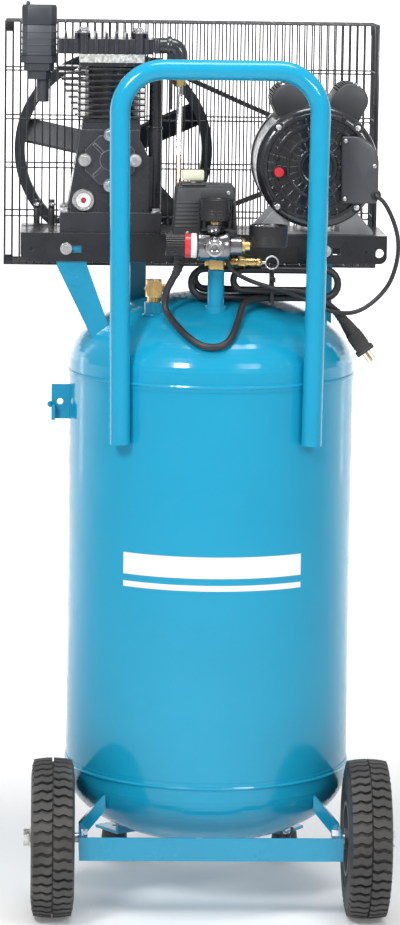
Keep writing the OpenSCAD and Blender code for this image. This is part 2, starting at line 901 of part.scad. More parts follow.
module flywheel() {
    rim_in = flywheel_r - 17;
    color(iron) at(crank_x, belt_y, crank_z) rotate([-90, 0, 0]) difference() {
        union() {
            translate([0, 0, -flywheel_w / 2]) pipe(flywheel_r, rim_in, flywheel_w);
            translate([0, 0, -flywheel_w / 2]) cylinder(r = 28, h = flywheel_w);
            for (i = [0:spokes - 1]) {
                rotate([0, 0, -24 - i * 360 / spokes]) intersection() {
                    translate([20, 0, 0]) rotate([32, 0, 0]) translate([0, -21, -4])
                        cube([rim_in - 18, 42, 8]);
                    cylinder(r = rim_in + 2, h = flywheel_w - 4, center = true);
                }
            }
        }
        translate([0, 0, -flywheel_w]) cylinder(r = shaft_r, h = 2 * flywheel_w);
        groove(flywheel_r, belt_w + 2 * groove_gap, 12);
    }
}

module belt_outline(r_big, r_small) {
    hull() {
        translate([crank_x, crank_z]) circle(r = r_big);
        translate([motor_x, motor_z]) circle(r = r_small);
    }
}

module v_belt() {
    color(black) at(0, belt_y - belt_w / 2 + 1, 0) upright(belt_w - 2) difference() {
        belt_outline(flywheel_r - 2, pulley_r - 2);
        belt_outline(flywheel_r - 2 - belt_t, pulley_r - 2 - belt_t);
    }
}

// ---------------------------------------------------------------- motor

module motor_shell() {
    foot_z = deck_z - motor_z;
    color(light_grey) at(motor_x, 0, motor_z) {
        difference() {
            union() {
                translate([0, front_joint_y, 0]) along_y()
                    cylinder(r = shell_r, h = rear_joint_y - front_joint_y);
                // rolled base with two feet
                block([-93, -62, foot_z], [93, 52, foot_z + 4]);
                for (s = [-1, 1], y = [-62, 46]) {
                    translate([0, y, 0]) upright(6) polygon([[s * 40, foot_z], [s * 92, foot_z],
                        [s * 92, foot_z + 6], [s * 62, foot_z + 40], [s * 40, foot_z + 32]]);
                }
            }
            translate([0, front_joint_y - 1, 0]) along_y()
                cylinder(r = shell_r - 2.5, h = rear_joint_y - front_joint_y + 2);
            for (x = [-80, 80], y = [-40, 30]) {
                translate([x, y, foot_z - 1]) cylinder(r = bolt_hole_r, h = 12);
            }
        }
    }
}

// A domed end bell, open side at z = 0 and closed side at z = depth
module bell(depth) {
    difference() {
        union() {
            cylinder(r = bell_r, h = depth - 10);
            translate([0, 0, depth - 10]) cylinder(r1 = bell_r, r2 = bell_r - 12, h = 8);
            for (r = [82, 50, 30]) {
                translate([0, 0, depth - 3]) pipe(r, r - 5, 3);
            }
            for (i = [0:11]) {
                rotate([0, 0, i * 30]) translate([28, -2, depth - 4]) cube([52, 4, 3]);
            }
            cylinder(r = 26, h = depth);
        }
        translate([0, 0, -1]) cylinder(r = bell_r - 8, h = depth - 7);
        translate([0, 0, -1]) cylinder(r = motor_shaft_r + running_gap, h = depth + 2);
        for (a = [45:90:315]) {
            rotate([0, 0, a]) translate([88, 0, depth - 12]) cylinder(r = 3, h = 20);
        }
    }
}

module motor_bells() {
    color(dark_grey) at(motor_x, 0, motor_z) {
        difference() {
            translate([0, front_joint_y - 0.1, 0]) rotate([90, 0, 0]) bell(36);
            reset_place() translate([0, 0, -20]) cylinder(r = 8.5, h = 40);
        }
        translate([0, rear_joint_y + 0.1, 0]) along_y() bell(36);
    }
}

// The overload reset button sits on the left of the front bell
module reset_place() {
    translate([-61, motor_front_y + 3, -8]) rotate([90, 0, 0]) children();
}

module motor_rotor() {
    color(silver) at(motor_x, 0, motor_z) {
        translate([0, motor_front_y - 2, 0]) along_y()
            cylinder(r = motor_shaft_r, h = belt_y + 14 - motor_front_y);
        translate([0, -55, 0]) along_y() cylinder(r = rotor_r, h = 95);
        translate([0, 48, 0]) along_y() cylinder(r = 70, h = 3);
    }
}

module motor_pulley() {
    color(iron) at(motor_x, belt_y, motor_z) rotate([-90, 0, 0]) difference() {
        translate([0, 0, -12]) cylinder(r = pulley_r, h = 24);
        translate([0, 0, -13]) cylinder(r = motor_shaft_r, h = 26);
        groove(pulley_r, belt_w + 2 * groove_gap, 12);
    }
}

module stator() {
    color(copper) at(motor_x, 0, motor_z) {
        translate([0, -50, 0]) along_y() pipe(shell_r - 2.6, rotor_r + 1.5, 85);
        translate([0, -60, 0]) along_y() pipe(76, 56, 10.5);
        translate([0, 34.5, 0]) along_y() pipe(76, 56, 9);
    }
}

// A capacitor cover lies along the top of the shell, turned about the motor's axis. top is its
// height above that axis.
module capacitor_cover(turn, top) {
    rotate([0, turn, 0]) difference() {
        translate([0, -62, 0]) upright(112) union() {
            translate([-27, 60]) square([54, top - 70]);
            translate([-17, 100]) square([34, top - 100]);
            for (s = [-1, 1]) {
                translate([s * 17, top - 10]) circle(r = 10);
            }
        }
        translate([0, -70, 0]) along_y() cylinder(r = shell_r + 0.2, h = 130);
        translate([-23, -58, 90]) cube([46, 104, top - 98]);
    }
}

module motor_covers() {
    color(dark_grey) at(motor_x, 0, motor_z) {
        capacitor_cover(-23, 137);
        capacitor_cover(28, 142);
    }
    color(light_grey) at(motor_x, 0, motor_z) {
        block([36, motor_front_y - 15, -55], [95, motor_front_y - 0.3, 50]);
    }
}

module reset_button() {
    color(red) at(motor_x, 0, motor_z) reset_place() {
        translate([0, 0, 1]) cylinder(r = 8, h = 9);
        translate([0, 0, -6]) cylinder(r = 4, h = 8);
    }
}

// ---------------------------------------------------------------- belt guard

// A grid of square holes leaves the wires standing
module grid(width, height, cols, rows) {
    cell_w = width / cols;
    cell_h = height / rows;
    difference() {
        square([width, height]);
        for (i = [0:cols - 1], j = [0:rows - 1]) {
            translate([i * cell_w + wire_t / 2, j * cell_h + wire_t / 2])
                square([cell_w - wire_t, cell_h - wire_t]);
        }
    }
}

guard_w = guard_right - guard_left;
guard_h = guard_high - guard_low;
guard_cols = round(guard_w / wire_pitch);

module guard_front() {
    color(black) at() {
        difference() {
            translate([guard_left, guard_near_y, guard_low]) upright(wire_t)
                grid(guard_w, guard_h, guard_cols, guard_rows);
            for (p = [[crank_x, crank_z], [motor_x, motor_z]]) {
                translate([p[0] - 36, guard_near_y - 1, p[1] - 36]) cube([72, wire_t + 2, 72]);
            }
        }
        for (x = [-286, -262, 226]) {
            block([x, deck_half_y + 0.2, deck_z + 4], [x + 8, guard_near_y - 0.1, deck_z + 28]);
            block([x, deck_half_y + 0.2, deck_z - 30], [x + 8, deck_half_y + 3, deck_z + 28]);
        }
    }
}

module guard_wall(length, rows) {
    depth = guard_far_y - guard_near_y - 2 * wire_t - 0.4;
    grid(length, depth, round(length / (2 * wire_pitch)), rows);
}

module guard_rear() {
    near = guard_near_y + wire_t + 0.2;
    color(black) at() {
        translate([guard_left, guard_far_y - wire_t, guard_low]) upright(wire_t)
            grid(guard_w, guard_h, guard_cols, guard_rows);
        for (z = [guard_low, guard_high - wire_t]) {
            translate([guard_left, near, z]) linear_extrude(wire_t) guard_wall(guard_w, 1);
        }
        for (x = [guard_left, guard_right - wire_t]) {
            translate([x, near, guard_low]) rotate([0, -90, 0]) mirror([0, 0, 1]) linear_extrude(wire_t)
                guard_wall(guard_h, 1);
        }
        for (x = [guard_left + wire_t, guard_right - wire_t - 14],
            z = [guard_low + wire_t, guard_high - wire_t - 12]) {
            block([x, near, z], [x + 14, near + 8, z + 12]);
        }
    }
}

// ---------------------------------------------------------------- controls

module switch_base() {
    color(black) at() {
        difference() {
            block([-70, switch_front_y + 1, switch_low_z], [30, switch_back_y - 1, switch_floor_z]);
            translate([-58, -140, switch_low_z - 1]) cylinder(r = mains_d / 2 + 0.3, h = 20);
            translate([16, -140, switch_low_z - 1]) cylinder(r = lead_d / 2 + 0.3, h = 20);
        }
        translate([-58, -140, switch_low_z - 18]) pipe(9.5, mains_d / 2 + 0.3, 18);
        translate([16, -140, switch_low_z - 12]) pipe(7, lead_d / 2 + 0.3, 12);
    }
}

module switch_cover() {
    color(black) at() difference() {
        translate([0, switch_front_y, 0]) upright(switch_back_y - switch_front_y)
            polygon([[-71, switch_floor_z + 0.2], [31, switch_floor_z + 0.2], [27, switch_top_z - 5],
                [22, switch_top_z], [-62, switch_top_z], [-67, switch_top_z - 5]]);
        translate([0, switch_front_y + 3, 0]) upright(switch_back_y - switch_front_y - 6)
            polygon([[-68, switch_floor_z - 1], [28, switch_floor_z - 1], [24, switch_top_z - 6],
                [20, switch_top_z - 3], [-60, switch_top_z - 3], [-64, switch_top_z - 6]]);
        translate([-39, -140, switch_top_z - 10]) cylinder(r = 6, h = 20);
    }
}

module on_off_cap() {
    color([0.85, 0.86, 0.76]) at(-39, -140, 0) {
        block([-17, -12, switch_top_z + 5], [17, 12, switch_top_z + 21]);
        translate([0, 0, switch_top_z - 12]) cylinder(r = 5, h = 18);
    }
}

module manifold() {
    color(brass) at(0, riser_y, 0) {
        block([-12, -12, riser_top_z], [12, 12, riser_top_z + 26]);
        translate([0, 0, riser_top_z + 25]) cylinder(r = 9, h = switch_low_z - riser_top_z - 25);
        translate([0, -10, feed_z]) rotate([90, 0, 0]) cylinder(r = 8, h = 42);
        translate([10, 0, safety_z]) along_x() cylinder(r = 7, h = 10);
        translate([-18, 0, safety_z]) along_x() hex(16, 8);
    }
}

module regulator_body() {
    color(dark_grey) at(reg_x, reg_y, reg_z) difference() {
        union() {
            translate([-25, 0, 0]) along_x() cylinder(r = reg_r, h = 50);
            translate([24, 0, 0]) along_x() cylinder(r = 14, h = 20);
            translate([0, 0, feed_z - reg_z]) rotate([-90, 0, 0]) cylinder(r = 10, h = 28);
            translate([0, 0, 18]) cylinder(r = 11, h = 14);
        }
        translate([-26, 0, 0]) along_x() cylinder(r = 12, h = 40);
    }
}

module regulator_knob() {
    ribs = 24;
    color(black) at(reg_x - 75, reg_y, reg_z) along_x() {
        difference() {
            cylinder(r = 18, h = 30);
            for (i = [0:ribs - 1]) {
                rotate([0, 0, i * 360 / ribs]) translate([18, 0, 17]) cube([3, 2, 28], center = true);
            }
        }
    }
    color(red) at(reg_x - 45, reg_y, reg_z) along_x() cylinder(r = 19, h = 9);
    color("white") at(reg_x - 36, reg_y, reg_z) along_x() {
        cylinder(r = 19, h = 10);
        cylinder(r = 8, h = 40);
    }
}

module outlet_coupler() {
    color(silver) at(reg_x, reg_y - reg_r - 0.2, reg_z) rotate([90, 0, 0]) difference() {
        union() {
            translate([0, 0, 2]) cylinder(r = 12, h = 20);
            hex(22, 8);
            translate([0, 0, 8]) cylinder(r = 14, h = 12);
        }
        translate([0, 0, 4]) cylinder(r = 5, h = 30);
    }
}

module gauge_case(r) {
    difference() {
        cylinder(r = r, h = gauge_h);
        translate([0, 0, gauge_h - 8]) cylinder(r = r - 3, h = 9);
    }
}

module gauge_cases() {
    color(black) at(tank_gauge_x, reg_y, tank_gauge_low_z) {
        gauge_case(tank_gauge_r);
        translate([0, 0, -6.9]) cylinder(r = 6.5, h = 8);
    }
    color(black) at(outlet_gauge_x, reg_y, outlet_gauge_low_z) gauge_case(outlet_gauge_r);
    color(brass) at(0, reg_y, reg_z) {
        translate([36.3, 0, 0]) along_x() hex(21, outlet_gauge_x - outlet_gauge_r - 36.3 + 1);
    }
}

// A needle turns on a short pin above the dial
module needle(r) {
    cylinder(r = 3, h = 2.5);
    translate([-1, -5, 0.5]) cube([2, r, 1]);
}

module tank_needle() {
    color(red) at(tank_gauge_x, reg_y, tank_gauge_low_z + gauge_h - 7.5) needle(tank_gauge_r - 5);
}

module outlet_needle() {
    color(red) at(outlet_gauge_x, reg_y, outlet_gauge_low_z + gauge_h - 7.5) needle(outlet_gauge_r - 5);
}

module safety_valve() {
    color(brass) at(0, riser_y, safety_z) along_x() {
        translate([0, 0, 20.2]) cylinder(r = 7, h = 14);
        translate([0, 0, 34]) hex(17, 12);
        translate([0, 0, 46]) cylinder(r = 7.5, h = 26);
    }
}

module safety_ring() {
    color(silver) at(72.5, riser_y, safety_z) {
        along_x() cylinder(r = 2.5, h = 6);
        translate([15, 0, 0]) rotate([90, 0, 0]) ring(10, 1.5);
    }
}

// ---------------------------------------------------------------- cords

// The mains cord leaves its gland, droops over the crown and comes back to the hank
mains_route = [[-58, -140, 1049.8], [-62, -142, 1030], [-76, -140, 1002], [-81, -137, 980],
    [-77, -140, 963], [-65, -170, 948], [-47, -199, 932], [-27, -214, 920.5], [-4, -218, 917.5],
    [13, -213, 922.5], [24, -204, 931], [34, -164, 957], [42, -136, 976], [47, -126, 992],
    [50, -115, 1002.5], [50, -106.6, 1004]];
tail_route = [[175, -94, 977], [175.5, -94, 973], [180, -95, 968.5], [192, -97, 961],
    [207, -98, 945]];
hank_left = -44;
hank_right = 200;
hank_low = 978;
hank_high = 1034;
lead_route = [[249, -128.4, 1150], [250, -133, 1148.5], [262, -136, 1138], [276, -134, 1112],
    [285, -132, 1080], [284, -128, 1045], [272, -122, 1008], [246, -118, 978], [216, -118, 963],
    [180, -118, 966], [140, -122, 984], [96, -130, 1000], [58, -136, 1012], [30, -140, 1026],
    [18, -140, 1040], [16, -140, 1055.8]];

module power_cord() {
    color(black) at() {
        swept(smooth(mains_route, 3), mains_d / 2, 10);
        swept(smooth(tail_route, 3), mains_d / 2, 10);
    }
}

module cord_hank() {
    half = (hank_high - hank_low) / 2;
    mid = (hank_high + hank_low) / 2;
    color(black) at(0, -105.4, 0) upright(22) {
        translate([hank_left + half, hank_low]) square([hank_right - hank_left - 2 * half, 2 * half]);
        for (x = [hank_left + half, hank_right - half]) {
            translate([x, mid]) circle(r = half);
        }
    }
}

module plug() {
    color(black) at(207.5, -98, 944.5) rotate([0, 144, 0]) {
        cylinder(r = 9, h = 14);
        translate([-14, -13, 14]) cube([28, 26, 40]);
    }
    color(silver) at(207.5, -98, 944.5) rotate([0, 144, 0]) {
        for (s = [-1, 1]) {
            translate([s * 6.3 - 0.8, -9.5, 53]) cube([1.6, 6.5, 18]);
        }
        translate([0, 6, 53]) cylinder(r = 2.4, h = 20);
    }
}

module motor_lead() {
    color(black) at() swept(smooth(lead_route, 3), lead_d / 2, 8);
}

// ---------------------------------------------------------------- nodes

tank_shell();
top_head();
bottom_head();
handle_tube();
axle_bracket();
axle_bolts();
rear_legs();
rubber_feet();
drain_valve();
drain_handle();
platform_struts();
platform_deck();
m8_bolts();
crankcase();
front_cover();
sight_glass();
breather_tube();
cylinder_block();
valve_plate();
cylinder_head();
filter_base();
filter_cover();
discharge_elbow();
discharge_tube();
copper_tube();
brass_fittings();
crankshaft();
flywheel();
connecting_rod();
piston();
v_belt();
motor_shell();
motor_bells();
motor_rotor();
motor_pulley();
stator();
motor_covers();
reset_button();
guard_front();
guard_rear();
switch_base();
switch_cover();
on_off_cap();
manifold();
regulator_body();
regulator_knob();
outlet_coupler();
gauge_cases();
tank_needle();
outlet_needle();
safety_valve();
safety_ring();
power_cord();
cord_hank();
plug();
motor_lead();
left_tyre();
left_rim();
right_tyre();
right_rim();
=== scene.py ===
"""Looks for the vertical tank air compressor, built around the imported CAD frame."""
import math

import bmesh
import bpy
from mathutils import Matrix, Vector


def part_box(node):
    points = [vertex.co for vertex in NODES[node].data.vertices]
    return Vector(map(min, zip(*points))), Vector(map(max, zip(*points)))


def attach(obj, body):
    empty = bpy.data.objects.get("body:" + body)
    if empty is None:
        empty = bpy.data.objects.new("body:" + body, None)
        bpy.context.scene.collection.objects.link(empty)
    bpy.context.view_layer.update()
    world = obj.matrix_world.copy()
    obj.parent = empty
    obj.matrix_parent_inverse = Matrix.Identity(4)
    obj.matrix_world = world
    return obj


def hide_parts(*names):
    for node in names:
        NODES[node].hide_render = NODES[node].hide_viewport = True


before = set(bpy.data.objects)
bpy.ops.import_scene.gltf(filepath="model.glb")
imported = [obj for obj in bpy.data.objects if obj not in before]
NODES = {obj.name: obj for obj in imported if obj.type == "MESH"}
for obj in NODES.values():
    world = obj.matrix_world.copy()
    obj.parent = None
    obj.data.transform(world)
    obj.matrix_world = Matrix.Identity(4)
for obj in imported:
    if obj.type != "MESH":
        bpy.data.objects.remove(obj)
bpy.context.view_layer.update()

MM = 0.001
HEAD_LOW, HEAD_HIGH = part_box("top_head")
TANK_X = (HEAD_LOW.x + HEAD_HIGH.x) / 2
TANK_Y = (HEAD_LOW.y + HEAD_HIGH.y) / 2
TANK_R = (HEAD_HIGH.x - HEAD_LOW.x) / 2


def at(x, y, z):
    """A point given in millimetres from the tank's axis at floor level."""
    return Vector((TANK_X + x * MM, TANK_Y + y * MM, z * MM))


def middle(node):
    low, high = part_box(node)
    return (low + high) / 2


# ------------------------------------------------------------------ camera

LENS = 151.0
CAMERA_AT = at(-276, -6200, 1610)
PITCH_DOWN = math.radians(8.3)
YAW_RIGHT = math.radians(2.4)
ROLL = math.radians(0.8)

camera_data = bpy.data.cameras.new("camera")
camera = bpy.data.objects.new("camera", camera_data)
bpy.context.scene.collection.objects.link(camera)
camera_data.sensor_fit = "AUTO"
camera_data.sensor_width = 36
camera_data.lens = LENS
camera_data.clip_end = 50
camera.matrix_world = (Matrix.Translation(CAMERA_AT) @ Matrix.Rotation(-YAW_RIGHT, 4, "Z")
                       @ Matrix.Rotation(math.pi / 2 - PITCH_DOWN, 4, "X")
                       @ Matrix.Rotation(ROLL, 4, "Z"))
bpy.context.scene.camera = camera

# ------------------------------------------------------------------ materials


class Graph:
    """A small helper for building node materials."""

    def __init__(self, name):
        self.material = bpy.data.materials.new(name)
        self.material.use_nodes = True
        self.tree = self.material.node_tree
        self.shader = self.tree.nodes["Principled BSDF"]
        self.coords = self.add("ShaderNodeTexCoord").outputs["Object"]

    def add(self, kind, **settings):
        node = self.tree.nodes.new(kind)
        for key, value in settings.items():
            setattr(node, key, value)
        return node

    def link(self, source, target):
        self.tree.links.new(source, target)

    def set(self, socket, value):
        self.shader.inputs[socket].default_value = value

    def noise(self, scale, detail=4.0, stretch=(1, 1, 1)):
        mapping = self.add("ShaderNodeMapping")
        mapping.inputs["Scale"].default_value = stretch
        self.link(self.coords, mapping.inputs["Vector"])
        noise = self.add("ShaderNodeTexNoise")
        noise.inputs["Scale"].default_value = scale
        noise.inputs["Detail"].default_value = detail
        self.link(mapping.outputs["Vector"], noise.inputs["Vector"])
        return noise.outputs["Fac"]

    def ramp(self, source, low, high, start=0.35, stop=0.65):
        ramp = self.add("ShaderNodeValToRGB")
        ramp.color_ramp.elements[0].position = start
        ramp.color_ramp.elements[1].position = stop
        ramp.color_ramp.elements[0].color = low
        ramp.color_ramp.elements[1].color = high
        self.link(source, ramp.inputs["Fac"])
        return ramp.outputs["Color"]

    def mix(self, factor, a, b):
        mix = self.add("ShaderNodeMix", data_type="RGBA")
        for socket, value in ((mix.inputs["Factor"], factor), (mix.inputs["A"], a), (mix.inputs["B"], b)):
            if isinstance(value, bpy.types.NodeSocket):
                self.link(value, socket)
            else:
                socket.default_value = value
        return mix.outputs["Result"]

    def edge_wear_and_highlight(self, radius):
        """1 on sharp edges and 0 on flat faces, from the difference between true and rounded normals."""
        bevel = self.add("ShaderNodeBevel", samples=4)
        bevel.inputs["Radius"].default_value = radius
        geometry = self.add("ShaderNodeNewGeometry")
        dot = self.add("ShaderNodeVectorMath", operation="DOT_PRODUCT")
        self.link(bevel.outputs["Normal"], dot.inputs[0])
        self.link(geometry.outputs["Normal"], dot.inputs[1])
        remap = self.add("ShaderNodeMapRange")
        remap.inputs["From Min"].default_value = 0.97
        remap.inputs["From Max"].default_value = 0.8
        self.link(dot.outputs["Value"], remap.inputs["Value"])
        return remap.outputs["Result"]

    def bump(self, height, strength, distance, rounded=0.0):
        bump = self.add("ShaderNodeBump")
        bump.inputs["Strength"].default_value = strength
        bump.inputs["Distance"].default_value = distance
        self.link(height, bump.inputs["Height"])
        if rounded:
            bevel = self.add("ShaderNodeBevel", samples=4)
            bevel.inputs["Radius"].default_value = rounded
            self.link(bevel.outputs["Normal"], bump.inputs["Normal"])
        self.link(bump.outputs["Normal"], self.shader.inputs["Normal"])


def rgba(colour, gain=1.0):
    return tuple(min(1.0, c * gain) for c in colour) + (1.0,)


ROUGH_SPREAD = 0.08


def painted(name, colour, roughness=0.3, coat=0.0, peel=0.05, peel_scale=300, variation=0.06, rounded=0.0,
            edge_wear_and_highlight_width=0.0, edge_wear_and_highlight_colour=(0.4, 0.4, 0.42), shine=0.5):
    """Paint or moulded plastic: slight tone changes, a fine skin, and pale edges where asked, which are
    partly rubbed paint and partly painted edge highlight.
    """
    g = Graph(name)
    tone = g.noise(6, 3)
    base = g.ramp(tone, rgba(colour, 1 - variation), rgba(colour, 1 + variation), 0.3, 0.7)
    # Pale edges: partly rubbed paint, partly a painted edge highlight.
    if edge_wear_and_highlight_width:
        speckle = g.noise(160, 6)
        spots = g.add("ShaderNodeMath", operation="MULTIPLY")
        g.link(g.edge_wear_and_highlight(edge_wear_and_highlight_width), spots.inputs[0])
        g.link(speckle, spots.inputs[1])
        base = g.mix(spots.outputs["Value"], base, rgba(edge_wear_and_highlight_colour))
    g.link(base, g.shader.inputs["Base Color"])
    rough = g.ramp(g.noise(30, 5), rgba((roughness - ROUGH_SPREAD,) * 3),
                   rgba((roughness + ROUGH_SPREAD,) * 3))
    g.link(rough, g.shader.inputs["Roughness"])
    g.set("Specular IOR Level", shine)
    g.set("Coat Weight", coat)
    g.set("Coat Roughness", 0.06)
    g.bump(g.noise(peel_scale, 5), peel, 0.0006, rounded)
    return g.material


def metal(name, colour, roughness, brushed=(1, 1, 1), scale=120, bump=0.05, rounded=0.0, tarnish=0.12):
    """Bare metal with faint stains and streaks. brushed squeezes the streaks along one axis."""
    g = Graph(name)
    stain = g.ramp(g.noise(18, 6), rgba(colour, 1 - tarnish), rgba(colour, 1 + tarnish / 3))
    g.link(stain, g.shader.inputs["Base Color"])
    streaks = g.noise(scale, 6, brushed)
    g.link(g.ramp(streaks, rgba((roughness * 0.7,) * 3), rgba((roughness * 1.35,) * 3)),
           g.shader.inputs["Roughness"])
    g.set("Metallic", 1.0)
    g.bump(streaks, bump, 0.0004, rounded)
    return g.material


def rough_rubber(name, colour, roughness, dust, rounded=0.0):
    """Matt rubber with patches of pale dust."""
    g = Graph(name)
    patches = g.ramp(g.noise(14, 7), (0, 0, 0, 1), (1, 1, 1, 1), 0.45, 0.75)
    scaled = g.add("ShaderNodeMath", operation="MULTIPLY")
    scaled.inputs[1].default_value = dust
    g.link(patches, scaled.inputs[0])
    g.link(g.mix(scaled.outputs["Value"], rgba(colour), (0.32, 0.31, 0.29, 1)), g.shader.inputs["Base Color"])
    g.set("Roughness", roughness)
    g.bump(g.noise(420, 5), 0.18, 0.0006, rounded)
    return g.material


BLUE = painted("blue_enamel", (0.008, 0.3, 0.495), roughness=0.17, coat=0.15, peel=0.03, peel_scale=90,
               variation=0.03, shine=0.35)
BLUE_EDGED = painted("blue_enamel_edged", (0.008, 0.27, 0.45), roughness=0.2, coat=0.15, peel=0.05,
                     peel_scale=140, variation=0.04, rounded=0.0008)
BLACK = painted("black_satin_paint", (0.013, 0.014, 0.018), roughness=0.3, coat=0.25, peel=0.1,
                peel_scale=420, rounded=0.0008, edge_wear_and_highlight_width=0.0006)
WIRE = painted("black_wire_paint", (0.012, 0.012, 0.016), roughness=0.35, coat=0.2, peel=0.1)
# Cast iron: its pale edge colour is partly rubbed paint and partly a painted edge highlight.
IRON = painted("painted_cast_iron", (0.024, 0.026, 0.033), roughness=0.28, coat=0.4, peel=0.45,
               peel_scale=260, variation=0.12, rounded=0.0012, edge_wear_and_highlight_width=0.0008, edge_wear_and_highlight_colour=(0.3, 0.31, 0.33))
# Front cover: slightly lighter cast-iron paint, with pale edges that are a painted edge highlight.
COVER_IRON = painted("cover_iron_edge_highlight", (0.03, 0.032, 0.04), roughness=0.28, coat=0.4, peel=0.35,
                     peel_scale=260, rounded=0.0012, edge_wear_and_highlight_width=0.0018, edge_wear_and_highlight_colour=(0.6, 0.61, 0.64))
FINS = painted("finned_iron", (0.016, 0.017, 0.022), roughness=0.27, coat=0.4, peel=0.35, peel_scale=300,
               variation=0.15, rounded=0.0006, edge_wear_and_highlight_width=0.0007, edge_wear_and_highlight_colour=(0.11, 0.115, 0.13))
FLYWHEEL = painted("flywheel_iron", (0.02, 0.026, 0.034), roughness=0.38, peel=0.4, peel_scale=200,
                   variation=0.12, rounded=0.0012)
GREY_PAINT = painted("grey_motor_paint", (0.052, 0.056, 0.066), roughness=0.34, coat=0.2, peel=0.12,
                     peel_scale=380, rounded=0.0008)
BELL = painted("gloss_black_bell", (0.013, 0.014, 0.018), roughness=0.22, coat=0.6, peel=0.3, peel_scale=220,
               variation=0.12, rounded=0.0012, edge_wear_and_highlight_width=0.0008, edge_wear_and_highlight_colour=(0.12, 0.125, 0.14))
SHELL_GREY = painted("light_grey_paint", (0.42, 0.43, 0.45), roughness=0.34, coat=0.2, peel=0.08,
                     peel_scale=300, rounded=0.0006)
PLASTIC = painted("black_moulded_plastic", (0.04, 0.043, 0.047), roughness=0.42, peel=0.35, peel_scale=900,
                  variation=0.05, rounded=0.0012)
PLASTIC_DARK = painted("dark_moulded_plastic", (0.014, 0.014, 0.016), roughness=0.32, peel=0.2,
                       peel_scale=700, rounded=0.0006)
FILTER_GREY = painted("filter_plastic", (0.034, 0.039, 0.048), roughness=0.38, peel=0.2, peel_scale=600,
                      rounded=0.0012)
# Filter band: a paler grey that paints the highlight along the band.
FILTER_HIGHLIGHT_BAND = painted("filter_band_painted_highlight", (0.058, 0.064, 0.075), roughness=0.4, peel=0.2, peel_scale=600)
CREAM = painted("cream_plastic", (0.72, 0.73, 0.56), roughness=0.45, peel=0.15, peel_scale=500, rounded=0.001)
RED = painted("red_plastic", (0.62, 0.02, 0.035), roughness=0.3, coat=0.3, peel=0.08, rounded=0.0006)
WHITE = painted("white_plastic", (0.78, 0.78, 0.76), roughness=0.4, peel=0.08, rounded=0.0005)
VINYL = painted("white_vinyl_print", (0.8, 0.82, 0.82), roughness=0.35, coat=0.2, peel=0.03)
ZINC = metal("zinc_plate", (0.74, 0.74, 0.76), 0.3, rounded=0.0005)
STEEL = metal("drawn_steel_tube", (0.5, 0.49, 0.49), 0.24, brushed=(1, 1, 0.05), scale=300)
MACHINED = metal("machined_steel", (0.6, 0.6, 0.62), 0.32, rounded=0.0005)
ALUMINIUM = metal("cast_aluminium", (0.72, 0.73, 0.7), 0.4, scale=260, bump=0.15, rounded=0.0006)
CHROME = metal("bright_chrome", (0.5, 0.5, 0.52), 0.14, bump=0.01, tarnish=0.03, rounded=0.0005)
NICKEL = metal("dark_nickel", (0.26, 0.26, 0.275), 0.22, bump=0.03, rounded=0.0006)
BRASS = metal("machined_brass", (0.8, 0.56, 0.24), 0.26, rounded=0.0006, tarnish=0.2)
COPPER = metal("copper_tube_metal", (0.62, 0.33, 0.22), 0.34, tarnish=0.25)
TYRE = rough_rubber("tyre_rubber", (0.042, 0.041, 0.039), 0.62, dust=0.15)
RUBBER = rough_rubber("foot_rubber", (0.028, 0.028, 0.028), 0.7, dust=0.12, rounded=0.001)
BELT = rough_rubber("belt_rubber", (0.026, 0.026, 0.03), 0.55, dust=0.1)
CORD = rough_rubber("cord_jacket", (0.02, 0.02, 0.024), 0.42, dust=0.04)
RIM_PAINT = painted("rim_paint", (0.1, 0.1, 0.11), roughness=0.4, coat=0.1, peel=0.15, rounded=0.001)
DIAL_WHITE = painted("dial_white", (0.8, 0.8, 0.78), roughness=0.45, peel=0.02)
DIAL_BLACK = painted("dial_black", (0.02, 0.02, 0.02), roughness=0.5, peel=0.02)


def clear_glass():
    g = Graph("gauge_glass")
    g.set("Base Color", (0.95, 0.97, 0.97, 1))
    g.set("Transmission Weight", 1.0)
    g.set("IOR", 1.45)
    rough = g.ramp(g.noise(40, 2), (0.01, 0.01, 0.01, 1), (0.04, 0.04, 0.04, 1))
    g.link(rough, g.shader.inputs["Roughness"])
    return g.material


GLASS = clear_glass()

# ------------------------------------------------------------------ mesh building


HEX_CORNER = 0.06
FACING = {
    "Z": Matrix.Identity(4),
    "X": Matrix.Rotation(math.pi / 2, 4, "Y"),
    "Y": Matrix.Rotation(-math.pi / 2, 4, "X"),
    "-Y": Matrix.Rotation(math.pi / 2, 4, "X"),
}


def placed(origin, axis="Z"):
    """A matrix that puts local Z along one of the frame's axes at origin. '-Y' points to the front."""
    return Matrix.Translation(origin) @ FACING[axis]


def spins(count, start=0.0):
    """Equal turns round local Z, from the angle start on."""
    return [Matrix.Rotation(start + 2 * math.pi * k / count, 4, "Z") for k in range(count)]


def soften(part, offset, segments):
    """Rounds every edge of a solid that is being built."""
    if offset:
        bmesh.ops.bevel(part, geom=part.edges[:], offset=offset, segments=segments, affect="EDGES",
                        profile=0.5)


